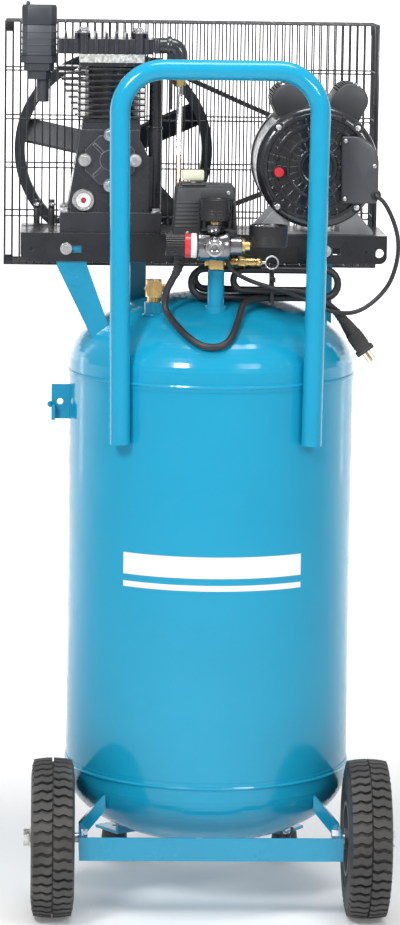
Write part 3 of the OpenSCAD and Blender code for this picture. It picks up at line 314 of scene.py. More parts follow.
class Shape:
    """Collects simple solids into one mesh, in metres. layer is the material that the next solid takes."""

    def __init__(self):
        self.bm = bmesh.new()
        self.layer = 0

    def absorb(self, part, matrix=Matrix.Identity(4)):
        part.transform(matrix)
        for face in part.faces:
            face.material_index = self.layer
        mesh = bpy.data.meshes.new("part")
        part.to_mesh(mesh)
        part.free()
        self.bm.from_mesh(mesh)
        bpy.data.meshes.remove(mesh)

    def box(self, low, high, bevel=0.0, matrix=Matrix.Identity(4), segments=2):
        part = bmesh.new()
        bmesh.ops.create_cube(part, size=1)
        low, high = Vector(low), Vector(high)
        size = high - low
        scale = Matrix.Diagonal((size.x, size.y, size.z, 1))
        part.transform(Matrix.Translation((low + high) / 2) @ scale)
        soften(part, bevel, segments)
        self.absorb(part, matrix)

    def prism(self, outline, depth, matrix, bevel=0.0, segments=2):
        """Extrudes an outline in X and Y from z = 0 to z = depth, then places it."""
        part = bmesh.new()
        face = part.faces.new([part.verts.new((x, y, 0)) for x, y in outline])
        grown = bmesh.ops.extrude_face_region(part, geom=[face])
        top = [v for v in grown["geom"] if isinstance(v, bmesh.types.BMVert)]
        bmesh.ops.translate(part, verts=top, vec=(0, 0, depth))
        bmesh.ops.recalc_face_normals(part, faces=part.faces[:])
        soften(part, bevel, segments)
        self.absorb(part, matrix)

    def lathe(self, profile, matrix, steps=48):
        """Turns (radius, height) points round local Z. Ends on the axis close the solid."""
        part = bmesh.new()
        rings = []
        for r, h in profile:
            angles = [2 * math.pi * k / steps for k in range(steps if r else 1)]
            rings.append([part.verts.new((r * math.cos(a), r * math.sin(a), h)) for a in angles])
        for a, b in zip(rings, rings[1:]):
            for k in range(steps):
                n = (k + 1) % steps
                if len(a) == steps and len(b) == steps:
                    part.faces.new((a[k], b[k], b[n], a[n]))
                elif len(b) == steps:
                    part.faces.new((a[0], b[k], b[n]))
                elif len(a) == steps:
                    part.faces.new((a[k], b[0], a[n]))
        bmesh.ops.recalc_face_normals(part, faces=part.faces[:])
        self.absorb(part, matrix)

    def solid(self, profile, matrix, steps=48):
        """A lathed shape with flat ends: its first and last rings are closed on the axis."""
        self.lathe([(0, profile[0][1])] + profile + [(0, profile[-1][1])], matrix, steps)

    def tube(self, points, radii, steps):
        """A round bar through points, with a radius at each of them."""
        part = bmesh.new()
        side = (points[1] - points[0]).normalized().orthogonal().normalized()
        rings = []
        for before, point, after, r in zip(points[:1] + points, points, points[1:] + points[-1:], radii):
            along = (after - before).normalized()
            side = (side - along * side.dot(along)).normalized()
            up = along.cross(side)
            rings.append([part.verts.new(point + r * (math.cos(a) * side + math.sin(a) * up))
                          for a in (2 * math.pi * k / steps for k in range(steps))])
        for a, b in zip(rings, rings[1:]):
            for k in range(steps):
                n = (k + 1) % steps
                part.faces.new((a[k], a[n], b[n], b[k]))
        part.faces.new(rings[0][::-1])
        part.faces.new(rings[-1])
        bmesh.ops.recalc_face_normals(part, faces=part.faces[:])
        self.absorb(part)

    def hexagon(self, flats, height, matrix):
        """A nut or bolt head: a hexagonal block with softened edges."""
        radius = flats / math.sqrt(3)
        outline = [(radius * math.cos(math.pi / 3 * k), radius * math.sin(math.pi / 3 * k)) for k in range(6)]
        self.prism(outline, height, matrix, bevel=HEX_CORNER * flats)

    def piece(self, name, materials, body="frame", slot="", replaces=(), angle=35):
        mesh = bpy.data.meshes.new(name)
        bmesh.ops.remove_doubles(self.bm, verts=self.bm.verts[:], dist=1e-7)
        self.bm.to_mesh(mesh)
        self.bm.free()
        mesh.shade_smooth()
        mesh.set_sharp_from_angle(angle=math.radians(angle))
        for material in materials if isinstance(materials, (list, tuple)) else [materials]:
            mesh.materials.append(material)
        return settle(bpy.data.objects.new(name, mesh), body, replaces)


def settle(obj, body, replaces):
    """Puts a piece in the scene, on its body, in place of the CAD nodes it stands for."""
    bpy.context.scene.collection.objects.link(obj)
    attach(obj, body)
    if replaces:
        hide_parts(*replaces)
    return obj


def wires(name, lines, radius, material, replaces, resolution):
    """Round wires on the frame: each line is a list of points."""
    curve = bpy.data.curves.new(name, "CURVE")
    curve.dimensions = "3D"
    curve.bevel_depth = radius
    curve.bevel_resolution = resolution
    curve.use_fill_caps = True
    for line in lines:
        spline = curve.splines.new("POLY")
        spline.points.add(len(line) - 1)
        for point, place in zip(spline.points, line):
            point.co = (*place, 1)
    curve.materials.append(material)
    return settle(bpy.data.objects.new(name, curve), "frame", replaces)


CORD_STEPS = 6


def smooth_path(points):
    """Catmull-Rom points through the given ones, the same rule as the CAD model's cords use."""
    out = []
    last = len(points) - 1
    for i in range(last):
        a, b, c, d = (Vector(points[max(i - 1, 0)]), Vector(points[i]), Vector(points[i + 1]),
                      Vector(points[min(i + 2, last)]))
        for k in range(CORD_STEPS):
            t = k / CORD_STEPS
            out.append(0.5 * (2 * b + (c - a) * t + (2 * a - 5 * b + 4 * c - d) * t * t
                              + (3 * b - a - 3 * c + d) * t * t * t))
    out.append(Vector(points[last]))
    return out


def rounded(points, radius, steps):
    """A polyline with its inner corners rounded."""
    out = [Vector(points[0])]
    for a, b, c in zip(points, points[1:], points[2:]):
        a, b, c = Vector(a), Vector(b), Vector(c)
        into, away = (b - a).normalized(), (c - b).normalized()
        start, stop = b - into * radius, b + away * radius
        for k in range(steps + 1):
            t = k / steps
            out.append((1 - t) ** 2 * start + 2 * t * (1 - t) * b + t * t * stop)
    out.append(Vector(points[-1]))
    return out


# ------------------------------------------------------------------ cords

MAINS_DIAMETER = 0.011
LEAD_DIAMETER = 0.007

# From the pressure switch's gland, down over the dome and up to the hank
MAINS_START = [at(-58, -140, 1049.8), at(-62, -142, 1030), at(-76, -140, 1002), at(-81, -137.5, 981),
               at(-78, -143, 964), at(-65, -170, 948), at(-47, -199, 932), at(-27, -214, 920.5),
               at(-6, -218, 917.5), at(11, -213.5, 921.5), at(22, -202, 931.5),
               at(29, -184, 944.5), at(35.5, -161, 959), at(43, -136, 975), at(58, -118, 982),
               at(76, -104, 983.5), at(100, -99.9, 983.5)]

# The hank is a flat coil: two long turns one behind the other, and a short third one in front of them
COIL_STEP = 11
HANK_FRONT = -99.9
HANK_BACK = HANK_FRONT + COIL_STEP
HANK_NEAR = HANK_FRONT - COIL_STEP
WIDE_LOW = 983.5
WIDE_HIGH = 1028.5
INNER = 996
SHORT_LEFT = 44
SHORT_RIGHT = 140
FOLD_RIGHT = 172
FOLD_LEFT = -16
FOLD_STEPS = 10


def fold(x, low, high, y, side):
    """Half a turn at one end of the hank: up at the right end, side 1, or down at the left, side -1."""
    radius = (high - low) / 2
    mid = (low + high) / 2
    return [at(x + side * radius * math.sin(a), y, mid - side * radius * math.cos(a))
            for a in (math.pi * k / FOLD_STEPS for k in range(FOLD_STEPS + 1))]


def mains_path():
    path = smooth_path(MAINS_START)
    path += fold(FOLD_RIGHT, WIDE_LOW, WIDE_HIGH, HANK_FRONT, 1)
    path += fold(FOLD_LEFT, WIDE_LOW, WIDE_HIGH, HANK_FRONT, -1)
    path += smooth_path([at(FOLD_LEFT, HANK_FRONT, WIDE_LOW), at(8, HANK_FRONT, WIDE_LOW),
                         at(44, HANK_BACK, WIDE_LOW), at(68, HANK_BACK, WIDE_LOW)])[1:]
    path += fold(FOLD_RIGHT, WIDE_LOW, WIDE_HIGH, HANK_BACK, 1)
    path += fold(FOLD_LEFT, INNER, WIDE_HIGH, HANK_BACK, -1)
    path += smooth_path([at(FOLD_LEFT, HANK_BACK, INNER), at(12, HANK_BACK, INNER), at(44, HANK_FRONT, INNER),
                         at(72, HANK_FRONT, INNER), at(100, HANK_FRONT, INNER)])[1:]
    rise = fold(SHORT_RIGHT, INNER, WIDE_HIGH, HANK_FRONT, 1)
    for k, point in enumerate(rise):
        forward = min(1.0, k / (0.6 * FOLD_STEPS))
        point.y -= COIL_STEP * MM * forward * forward * (3 - 2 * forward)
    path += rise
    path += fold(SHORT_LEFT, INNER, WIDE_HIGH, HANK_NEAR, -1)
    path += smooth_path([at(SHORT_LEFT, HANK_NEAR, INNER), at(66, HANK_NEAR, INNER), at(88, HANK_NEAR, INNER),
                         at(110, HANK_NEAR, INNER), at(132, HANK_NEAR, 994.5), at(152, HANK_NEAR, 989.5),
                         at(169, -112, 982), at(183, -109, 971.5), at(195, -103, 959.5),
                         at(207, -98, 945)])[1:]
    return path


LEAD_ROUTE = [at(249, -128.4, 1150), at(250, -133, 1148.5), at(262, -136, 1138), at(276, -134, 1112),
              at(285, -132, 1080), at(284, -128, 1045), at(272, -122, 1008), at(246, -118, 978),
              at(216, -118, 963), at(180, -118, 966), at(140, -122, 984), at(96, -130, 1000),
              at(58, -136, 1012), at(30, -140, 1026), at(18, -140, 1040), at(16, -140, 1055.8)]


SLEEVE_RIBS = 5
RIB_DEPTH = 0.0009


def sleeve(name, path, length, wide, narrow):
    """A tapered, ribbed strain relief that follows the cord from the start of path."""
    points = []
    radii = []
    travelled = 0.0
    fine = [a.lerp(b, k / 12) for a, b in zip(path, path[1:]) for k in range(12)]
    last = fine[0]
    for point in fine:
        travelled += (point - last).length
        last = point
        if travelled > length:
            break
        part = travelled / length
        wave = 0.5 + 0.5 * math.cos(2 * math.pi * SLEEVE_RIBS * part)
        if not points or (point - points[-1]).length > length / (SLEEVE_RIBS * 10):
            points.append(point)
            radii.append((wide + (narrow - wide) * part) - RIB_DEPTH * (1 - wave))
    shape = Shape()
    shape.tube(points, radii, 20)
    return shape.piece(name, RUBBER, slot="cord_jacket")


def build_cords():
    mains = mains_path()
    cord = wires("mains_cord", [mains], MAINS_DIAMETER / 2, CORD,
                 ("power_cord", "cord_hank"), 5)
    lead_path = smooth_path(LEAD_ROUTE)
    lead = wires("motor_cord", [lead_path], LEAD_DIAMETER / 2, CORD, ("motor_lead",), 4)
    gland = sleeve("gland_strain_relief", mains, 0.032, 0.0095, 0.0064)
    plug_relief = sleeve("plug_strain_relief", mains[::-1], 0.03, 0.0092, 0.0063)

    tie = Shape()
    for z in (976.4, 1034.2):
        tie.box(at(86, -117.6, z), at(92, -82.2, z + 1.4), 0.0003)
    tie.box(at(86, -118.2, 976.4), at(92, -116.6, 1035.6), 0.0003)
    tie.box(at(86, -83.2, 976.4), at(92, -81.8, 1035.6), 0.0003)
    tie.box(at(84, -121.4, 1010), at(94, -116.8, 1018), 0.0008)
    band = tie.piece("hank_tie", PLASTIC_DARK, slot="black_plastic")

    plug = build_plug()


def build_plug():
    """A moulded plug with a ridged grip, two flat blades and a round earth pin."""
    place = Matrix.Translation(at(207.5, -98, 944.5)) @ Matrix.Rotation(math.radians(144), 4, "Y")
    shape = Shape()
    outline = [(-0.0125, -0.012), (0.0125, -0.012), (0.0125, 0.006), (0.007, 0.0135), (-0.007, 0.0135),
               (-0.0125, 0.006)]
    shape.prism(outline, 0.036, place @ Matrix.Translation((0, 0, 0.018)), bevel=0.0026, segments=3)
    shape.box((-0.0155, -0.0145, 0.05), (0.0155, 0.0155, 0.056), 0.0022, place, 3)
    shape.solid([(0.0092, 0), (0.0098, 0.004), (0.0116, 0.019)], place)
    for k in range(4):
        shape.box((-0.0133, -0.0128, 0.026 + 0.005 * k), (0.0133, 0.009, 0.028 + 0.005 * k), 0.0008, place)
    shape.layer = 1
    for x in (-0.0064, 0.0064):
        shape.box((x - 0.0008, -0.0032, 0.055), (x + 0.0008, 0.0032, 0.0735), 0.0004, place)
    shape.solid([(0.0024, 0.054), (0.0024, 0.0735), (0.0014, 0.0755)],
                place @ Matrix.Translation((0, 0.0085, 0)), 20)
    return shape.piece("mains_plug", [RUBBER, BRASS], slot="cord_jacket", replaces=("plug",))


build_cords()

# ------------------------------------------------------------------ belt guard

WIRE_R = 1.2 * MM
SHAFT_HOLE = 0.036
SHORTEST_WIRE = 0.002
GUARD_COLUMNS = 50
GUARD_ROWS = 5


def clear_spans(start, stop, offset, shafts):
    """The parts of a straight wire outside the shaft holes. shafts holds (offset, place along the wire)."""
    spans = [(start, stop)]
    for shaft_offset, place in shafts:
        if abs(offset - shaft_offset) < SHAFT_HOLE:
            half = math.sqrt(SHAFT_HOLE ** 2 - (offset - shaft_offset) ** 2)
            spans = [(a, b) for low, high in spans
                     for a, b in ((low, min(high, place - half)), (max(low, place + half), high))
                     if b - a > SHORTEST_WIRE]
    return spans


def build_guard():
    """Two welded wire panels: a flat one behind the tank's platform and a basket that wraps the drive."""
    low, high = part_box("guard_rear")
    left, right = low.x + WIRE_R, high.x - WIRE_R
    near, far = low.y - WIRE_R, high.y - WIRE_R
    bottom, top = low.z + WIRE_R, high.z - WIRE_R
    crossing = near + 1.8 * WIRE_R
    behind = near + 2 * WIRE_R
    wrap = far - 1.8 * WIRE_R
    shafts = [(middle(node).x, middle(node).z) for node in ("flywheel", "motor_pulley")]
    lines = []
    for i in range(GUARD_COLUMNS + 1):
        x = left + (right - left) * i / GUARD_COLUMNS
        lines += [[(x, near, a), (x, near, b)] for a, b in clear_spans(bottom, top, x, shafts)]
        if i % 2 == 0:
            corners = [(x, behind, top), (x, far, top), (x, far, bottom), (x, behind, bottom)]
            lines.append(rounded(corners, 0.006, 4))
        else:
            lines.append([(x, far, bottom), (x, far, top)])
    for j in range(GUARD_ROWS + 1):
        z = bottom + (top - bottom) * j / GUARD_ROWS
        spans = clear_spans(left, right, z, [(sz, sx) for sx, sz in shafts])
        lines += [[(a, crossing, z), (b, crossing, z)] for a, b in spans]
        corners = [(left, behind, z), (left, wrap, z), (right, wrap, z), (right, behind, z)]
        lines.append(rounded(corners, 0.006, 4))
    for k in range(1, 5):
        y = near + (far - near) * k / 5
        for x in (left, right):
            lines.append([(x, y, bottom), (x, y, top)])
        for z in (bottom, top):
            lines.append([(left, y, z), (right, y, z)])
    for sx, sz in shafts:
        lines.append([(sx + SHAFT_HOLE * math.cos(a), near, sz + SHAFT_HOLE * math.sin(a))
                      for a in (2 * math.pi * k / 40 for k in range(41))])
    wires("guard_wires", lines, WIRE_R, WIRE, ("guard_front", "guard_rear"), 2)

    shape = Shape()
    for x in (left, right - 0.014):
        for z in (bottom, top - 0.016):
            shape.box((x, near - 0.0022, z), (x + 0.014, near - 0.001, z + 0.016), 0.0004)
            shape.box((x, near - 0.0022, z), (x + 0.0012, near + 0.012, z + 0.016), 0.0004)
    shape.box((right - 0.0065, near - 0.0026, bottom), (right + 0.0012, near - 0.0012, top), 0.0004)
    for x in (-286, -262, 226):
        shape.box(at(x, 87.2, 1052), at(x + 8, 89.8, 1110), 0.0006)
        shape.box(at(x, 87.2, 1107), at(x + 8, 130.5, 1110), 0.0006)
        shape.box(at(x, 128.6, 1098), at(x + 8, 130.8, 1118), 0.0006)
    shape.piece("guard_clips", BLACK, slot="black_paint")
    bolts = Shape()
    for x in (-282, -258, 230):
        bolts.lathe([(0, 0), (0.0055, 0), (0.0055, 0.002), (0.004, 0.004), (0, 0.0044)],
                    placed(at(x, 107, 1110)), 20)
    bolts.piece("guard_bolts", ZINC, slot="zinc")


build_guard()

# ------------------------------------------------------------------ wheels


TREAD_HALF = 0.035
CROWN = 0.0042
TREAD_ROWS = 46
LUG_HALF = 0.0056
FOOT_SPREAD = 1.12


def tread_lug(part, outline, wheel_r, base_r, mirror, angle):
    """A rubber block on the tread: its outline is (along, across) in metres, wrapped round the wheel."""
    tops, feet = [], []
    for along, across in outline:
        across *= mirror
        r = wheel_r - CROWN * (across / TREAD_HALF) ** 2
        for ring, radius, grow in ((tops, r, 1.0), (feet, base_r, FOOT_SPREAD)):
            turn = angle + along * grow / wheel_r
            ring.append(part.verts.new((radius * math.cos(turn), radius * math.sin(turn), across)))
    count = len(outline)
    part.faces.new(tops)
    for k in range(count):
        n = (k + 1) % count
        part.faces.new((tops[k], feet[k], feet[n], tops[n]))


def build_tyre(name, node, body):
    """A pneumatic tyre: a turned casing, two bands of wavy blocks on it, and blocks on its shoulders."""
    low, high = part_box(node)
    centre = (low + high) / 2
    wheel_r = (high.z - low.z) / 2
    half = (high.x - low.x) / 2
    shape = Shape()
    base_r = wheel_r - 0.0065
    profile = [(0.06, -half * 0.62), (0.064, -half * 0.7), (0.07, -half * 0.86), (0.078, -half * 0.93),
               (0.079, -half * 0.97), (0.083, -half * 0.97), (0.084, -half * 0.94), (0.097, -half * 0.985),
               (0.104, -half * 0.97), (0.111, -half * 0.93), (0.117, -half * 0.86),
               (base_r - 0.001, -half * 0.74), (base_r, -half * 0.5), (base_r, 0.0)]
    profile += [(r, -h) for r, h in reversed(profile[:-1])] + [(0.06, half * 0.6)]
    profile.append(profile[0])
    shape.lathe(profile, placed(centre, "X"), 96)

    part = bmesh.new()
    wave = [(0.0, 0.0013), (0.0026, 0.006), (0.0032, 0.0095), (0.0006, 0.016), (0.0004, 0.019),
            (0.0036, 0.025), (0.003, 0.0305)]
    lug = [(sway + LUG_HALF, across) for sway, across in wave]
    lug += [(sway - LUG_HALF, across) for sway, across in reversed(wave)]
    edge_r, wall_r = wheel_r - 0.005, wheel_r - 0.0135
    shoulder = ((edge_r, 0.03, -0.02), (edge_r, 0.03, 0.045), (wall_r, 0.033, 0.035),
                (wall_r, 0.033, -0.012))
    for k in range(TREAD_ROWS):
        for side in (-1, 1):
            angle = 2 * math.pi * (k + 0.25 * side) / TREAD_ROWS
            tread_lug(part, lug, wheel_r, base_r - 0.004, side, angle)
    for side in (-1, 1):
        for k in range(TREAD_ROWS):
            angle = 2 * math.pi * (k + 0.25 * side) / TREAD_ROWS + 0.02
            outer = [(r * math.cos(angle + turn), r * math.sin(angle + turn), side * x)
                     for r, x, turn in shoulder]
            inner = [(x * 0.985, y * 0.985, z * 0.9) for x, y, z in outer]
            top = [part.verts.new(p) for p in outer]
            foot = [part.verts.new(p) for p in inner]
            part.faces.new(top)
            for i in range(4):
                n = (i + 1) % 4
                part.faces.new((top[i], foot[i], foot[n], top[n]))
    bmesh.ops.recalc_face_normals(part, faces=part.faces[:])
    shape.absorb(part, placed(centre, "X"))
    return shape.piece(name, TYRE, body, "tyre_rubber", (node,), angle=32)


build_tyre("left_tyre_tread", "left_tyre", "left_wheel")
build_tyre("right_tyre_tread", "right_tyre", "right_wheel")

# ------------------------------------------------------------------ motor

MOTOR = at(158, 0, 1191)
BOSS_R = 0.088


def motor_at(x, y, z):
    return MOTOR + Vector((x, y, z)) * MM


def build_bell(shape, joint_y, axis):
    """A cast end bell with raised rings, radial ribs, bolted bosses and dark vent inserts near its edge."""
    place = placed(motor_at(0, joint_y, 0), axis)
    shape.layer = 0
    shape.lathe([(0.09, 0.0005), (0.0962, 0.0005), (0.0965, 0.002), (0.0965, 0.0225), (0.0955, 0.0265),
                 (0.0925, 0.03), (0.088, 0.0325), (0.0855, 0.033), (0.0845, 0.0352), (0.08, 0.0356),
                 (0.0785, 0.0322), (0.071, 0.0318), (0.07, 0.0345), (0.0655, 0.0345), (0.0645, 0.0312),
                 (0.05, 0.0308), (0.0492, 0.0345), (0.0455, 0.035), (0.0445, 0.0318), (0.032, 0.0315),
                 (0.031, 0.0345), (0.0265, 0.0352), (0.0245, 0.0345), (0.0235, 0.03), (0.0, 0.0298)],
                place, 96)
    for turn in spins(24):
        shape.box((0.032, -0.0011, 0.029), (0.046, 0.0011, 0.0338), 0.0007, place @ turn)
        shape.box((0.049, -0.0013, 0.029), (0.066, 0.0013, 0.0335), 0.0007, place @ turn)
    for turn in spins(36, math.pi / 36):
        shape.box((0.07, -0.0012, 0.029), (0.08, 0.0012, 0.0338), 0.0006, place @ turn)
    for turn in spins(4, math.pi / 4):
        shape.solid([(0.0085, 0.0), (0.0085, 0.033), (0.0075, 0.0342)],
                    place @ turn @ Matrix.Translation((BOSS_R, 0, 0)), 24)
    shape.layer = 1
    for turn in spins(4, math.pi / 4):
        shape.hexagon(0.0085, 0.003, place @ turn @ Matrix.Translation((BOSS_R, 0, 0.0338)))
    shape.layer = 2
    for k in range(10):
        turn = Matrix.Rotation(math.radians(230 + 9.2 * k), 4, "Z")
        shape.box((0.0905, -0.003, 0.004), (0.0968, 0.003, 0.02), 0.0012, place @ turn)


def build_bells():
    bells = Shape()
    build_bell(bells, -76.1, "-Y")
    build_bell(bells, 60.1, "Y")
    bells.piece("motor_bells_detail", [BELL, ZINC, PLASTIC_DARK], slot="motor_paint",
                replaces=("motor_bells",))


def build_end_plugs():
    """The plug in the middle of the front bell and three small ones round it."""
    hub = Shape()
    hub.lathe([(0, 0), (0.0155, 0), (0.0155, 0.0035), (0.014, 0.0048), (0.0085, 0.0052), (0.008, 0.0036),
               (0, 0.0034)], placed(motor_at(0, -106, 0), "-Y"), 40)
    for x, z in ((-64, -34), (-64, 14), (40, 76)):
        hub.lathe([(0, 0), (0.0042, 0), (0.0042, 0.0016), (0.003, 0.003), (0, 0.0032)],
                  placed(motor_at(x, -109.6, z), "-Y"), 20)
    hub.piece("motor_end_plug", PLASTIC_DARK, slot="black_plastic")


def build_covers():
    """The two capacitor covers, the terminal cover with its rounded shoulder, and the lead's gland."""
    covers = Shape()
    for lean, top in ((-23, 0.137), (28, 0.142)):
        upright = Matrix.Translation(MOTOR) @ Matrix.Rotation(math.radians(lean), 4, "Y")
        place = upright @ Matrix.Rotation(math.pi / 2, 4, "X") @ Matrix.Translation((0, 0, -0.05))
        outline = [(-0.027, 0.088)]
        for cx, start in ((-1, 180), (1, 90)):
            for k in range(9):
                a = math.radians(start - 90 * k / 8)
                outline.append((cx * 0.003 + 0.024 * math.cos(a), top - 0.024 + 0.024 * math.sin(a)))
        outline.append((0.027, 0.088))
        covers.layer = 0
        covers.prism(outline, 0.112, place, bevel=0.0032, segments=3)
        covers.prism([(-0.031, 0.0885), (0.031, 0.0885), (0.031, 0.0935), (-0.031, 0.0935)], 0.116,
                     place @ Matrix.Translation((0, 0, -0.002)), bevel=0.001)
        covers.layer = 2
        for y in (-0.052, 0.04):
            covers.lathe([(0, 0), (0.0045, 0), (0.0045, 0.0012), (0.0032, 0.0026), (0, 0.0028)],
                         upright @ Matrix.Translation((0, y, top - 0.0004)), 20)
    covers.layer = 1
    outline = [(0.036, -0.055), (0.088, -0.055), (0.093, -0.053), (0.095, -0.048)]
    for k in range(11):
        a = math.pi / 2 * k / 10
        outline.append((0.055 + 0.04 * math.cos(a), 0.01 + 0.04 * math.sin(a)))
    outline.append((0.036, 0.05))
    covers.prism(outline, 0.0147, placed(motor_at(0, -112.3, 0), "-Y"), bevel=0.0032, segments=3)
    covers.layer = 2
    for x, z in ((42, -48), (42, 43), (88, 4)):
        covers.lathe([(0, 0), (0.0034, 0), (0.0034, 0.001), (0.0022, 0.0022), (0, 0.0023)],
                     placed(motor_at(x, -127.4, z), "-Y"), 20)
    covers.layer = 3
    covers.solid([(0.0075, -0.004), (0.0085, 0.0), (0.0085, 0.0025), (0.0055, 0.005)],
                 placed(at(249, -124.5, 1150), "-Y"), 24)
    covers.piece("motor_covers_detail", [PLASTIC, GREY_PAINT, ZINC, RUBBER], slot="motor_paint",
                 replaces=("motor_covers",))


def build_reset():
    """The reset button's cap, and the guide bushing on the front bell that it slides in."""
    button = Shape()
    centre = middle("reset_button")
    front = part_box("reset_button")[0].y
    button.lathe([(0, 0.004), (0.0078, 0.004), (0.008, 0.0046), (0.008, 0.007), (0.0072, 0.0085),
                  (0, 0.009)], placed(Vector((centre.x, front + 0.009, centre.z)), "-Y"), 32)
    button.piece("reset_cap", RED, "reset", "red_plastic", ("reset_button",))
    bezel = Shape()
    bezel.lathe([(0.0086, 0), (0.011, 0), (0.011, 0.005), (0.01, 0.0062), (0.0086, 0.0062), (0.0086, 0)],
                placed(motor_at(-61, -108.8, -8), "-Y"), 32)
    bezel.piece("reset_bezel", PLASTIC_DARK, slot="black_plastic")


build_bells()
build_end_plugs()
build_covers()
build_reset()

# ------------------------------------------------------------------ drive belt


def belt_path(big_r, small_r, step):
    """Points round both pulleys, and the straight runs between them, in X and Z."""
    big, small = middle("flywheel"), middle("motor_pulley")
    across = Vector((small.x - big.x, small.z - big.z))
    span = across.length
    base = math.atan2(across.y, across.x)
    tilt = math.acos((big_r - small_r) / span)
    points = []

    def arc(centre, radius, start, stop):
        count = max(2, int(abs(stop - start) * radius / step))
        for k in range(count + 1):
            a = start + (stop - start) * k / count
            points.append(Vector((centre.x + radius * math.cos(a), centre.z + radius * math.sin(a))))

    arc(big, big_r, base + tilt, base + 2 * math.pi - tilt)
    arc(small, small_r, base - tilt, base + tilt)
    filled = []
    for a, b in zip(points, points[1:] + points[:1]):
        count = max(1, round((b - a).length / step))
        filled += [a.lerp(b, k / count) for k in range(count)]
    return filled


def build_belt():
    """The V-belt round both pulleys, with fine ribs across its back."""
    low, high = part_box("v_belt")
    mid = (low.y + high.y) / 2
    big_r = middle("flywheel").x - low.x
    path = belt_path(big_r - 0.0015, high.x - middle("motor_pulley").x - 0.0015, 0.0035)
    part = bmesh.new()
    rings = []
    for i, point in enumerate(path):
        along = (path[(i + 1) % len(path)] - path[i - 1]).normalized()
        out = Vector((along.y, -along.x))
        ribbed = 0.0015 if i % 2 == 0 else 0.0
        ring = []
        for y, r in ((-0.0048, ribbed), (0.0048, ribbed), (0.0034, -0.007), (-0.0034, -0.007)):
            place = point + out * r
            ring.append(part.verts.new((place.x, mid + y, place.y)))
        rings.append(ring)
    for a, b in zip(rings, rings[1:] + rings[:1]):
        for k in range(4):
            n = (k + 1) % 4
            part.faces.new((a[k], a[n], b[n], b[k]))
    bmesh.ops.recalc_face_normals(part, faces=part.faces[:])
    shape = Shape()
    shape.absorb(part)
    shape.piece("ribbed_belt", BELT, slot="belt_rubber", replaces=("v_belt",), angle=25)


build_belt()

# ------------------------------------------------------------------ pressure switch and regulator


def build_switch():
    """The pressure switch's stepped cover with its ribs, and the dark recess under it."""
    shape = Shape()
    bottom, top = 1078.2, 1166
    front, back = -164, -106
    panel = placed(at(0, front + 3, 0), "-Y")

    def slab(points, depth, place, bevel, segments=3):
        shape.prism([(x * MM, z * MM) for x, z in points], depth, place, bevel=bevel, segments=segments)

    slab([(-71, bottom), (31, bottom), (26.5, top - 6), (21, top), (-61, top), (-66.5, top - 6)],
         (back - front) * MM, placed(at(0, back, 0), "-Y"), 0.003)
    slab([(-70, bottom + 0.4), (-27, bottom + 0.4), (-27, top - 4), (-61, top - 4), (-65.5, top - 9)],
         0.011, panel, 0.0026)
    slab([(-30, 1143), (27.2, 1143), (25, top - 8), (19, top - 4), (-30, top - 4)], 0.0105, panel, 0.0024)
    slab([(-30, bottom + 0.4), (30, bottom + 0.4), (29, 1097), (-30, 1097)], 0.009, panel, 0.0024)
    slab([(22.5, 1095), (29, 1095), (27, 1146), (22.5, 1146)], 0.0085, panel, 0.0015, 2)
    for k in range(7):
        z = 1100 + 6.2 * k
        shape.box(at(-67.5 + k * 0.3, -172.6, z), at(-31, -171.2, z + 2.2), 0.0006)
    shape.box(at(-58, -168, top - 1.5), at(-20, -112, top + 1.6), 0.0014)
    shape.layer = 1
    shape.solid([(0.0205, 0), (0.0215, 0.002), (0.0215, 0.04), (0.0205, 0.042)],
                placed(at(-2, -152.5, 1099)), 48)
    shape.box(at(-26, -163.6, 1097), at(23, -161.6, 1143), 0.0008)
    shape.layer = 2
    for x, z in ((-48, 1090), (15, 1154)):
        shape.lathe([(0, 0), (0.0035, 0), (0.0035, 0.0012), (0.0025, 0.0024), (0, 0.0025)],
                    placed(at(x, -171.6, z), "-Y"), 20)
    shape.piece("switch_cover_shell", [PLASTIC, PLASTIC_DARK, ZINC], slot="black_plastic",
                replaces=("switch_cover",))


def build_on_off_cap():
    cap = Shape()
    low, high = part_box("on_off_cap")
    face_low = high.z - 0.016
    cap.box((low.x, low.y, face_low), high, 0.0028, segments=3)
    cap.box((low.x + 0.005, low.y - 0.0004, face_low + 0.003),
            (high.x - 0.005, low.y + 0.004, high.z - 0.003), 0.0008)
    cap.solid([(0.005, 0), (0.005, face_low - low.z)],
              placed(Vector(((low.x + high.x) / 2, (low.y + high.y) / 2, low.z)), "Z"), 24)
    cap.piece("on_off_lever", CREAM, "switch_cap", "cream_plastic", ("on_off_cap",))


def build_glands():
    """The two cable glands under the pressure switch."""
    glands = Shape()
    for x, low_z, radius in ((-58, 1050, 9.5), (16, 1056, 7.0)):
        glands.hexagon(2 * radius * MM, 0.007, placed(at(x, -140, 1061.5)))
        glands.lathe([(radius * MM * 0.7, 0), (radius * MM * 0.94, 0), (radius * MM, 0.002),
                      (radius * MM, 0.012), (radius * MM * 0.7, 0.012), (radius * MM * 0.7, 0)],
                     placed(at(x, -140, low_z - 0.3)), 24)
    glands.piece("gland_nuts", PLASTIC_DARK, slot="black_plastic")


def fluted(radius, depth, flutes, points=6):
    """The outline of a knob with rounded ribs."""
    out = []
    for k in range(flutes * points):
        a = 2 * math.pi * k / (flutes * points)
        wave = abs(math.sin(flutes * a / 2)) ** 0.6
        r = radius - depth * (1 - wave)
        out.append((r * math.cos(a), r * math.sin(a)))
    return out


REGULATOR = at(-8, -200, 1074)


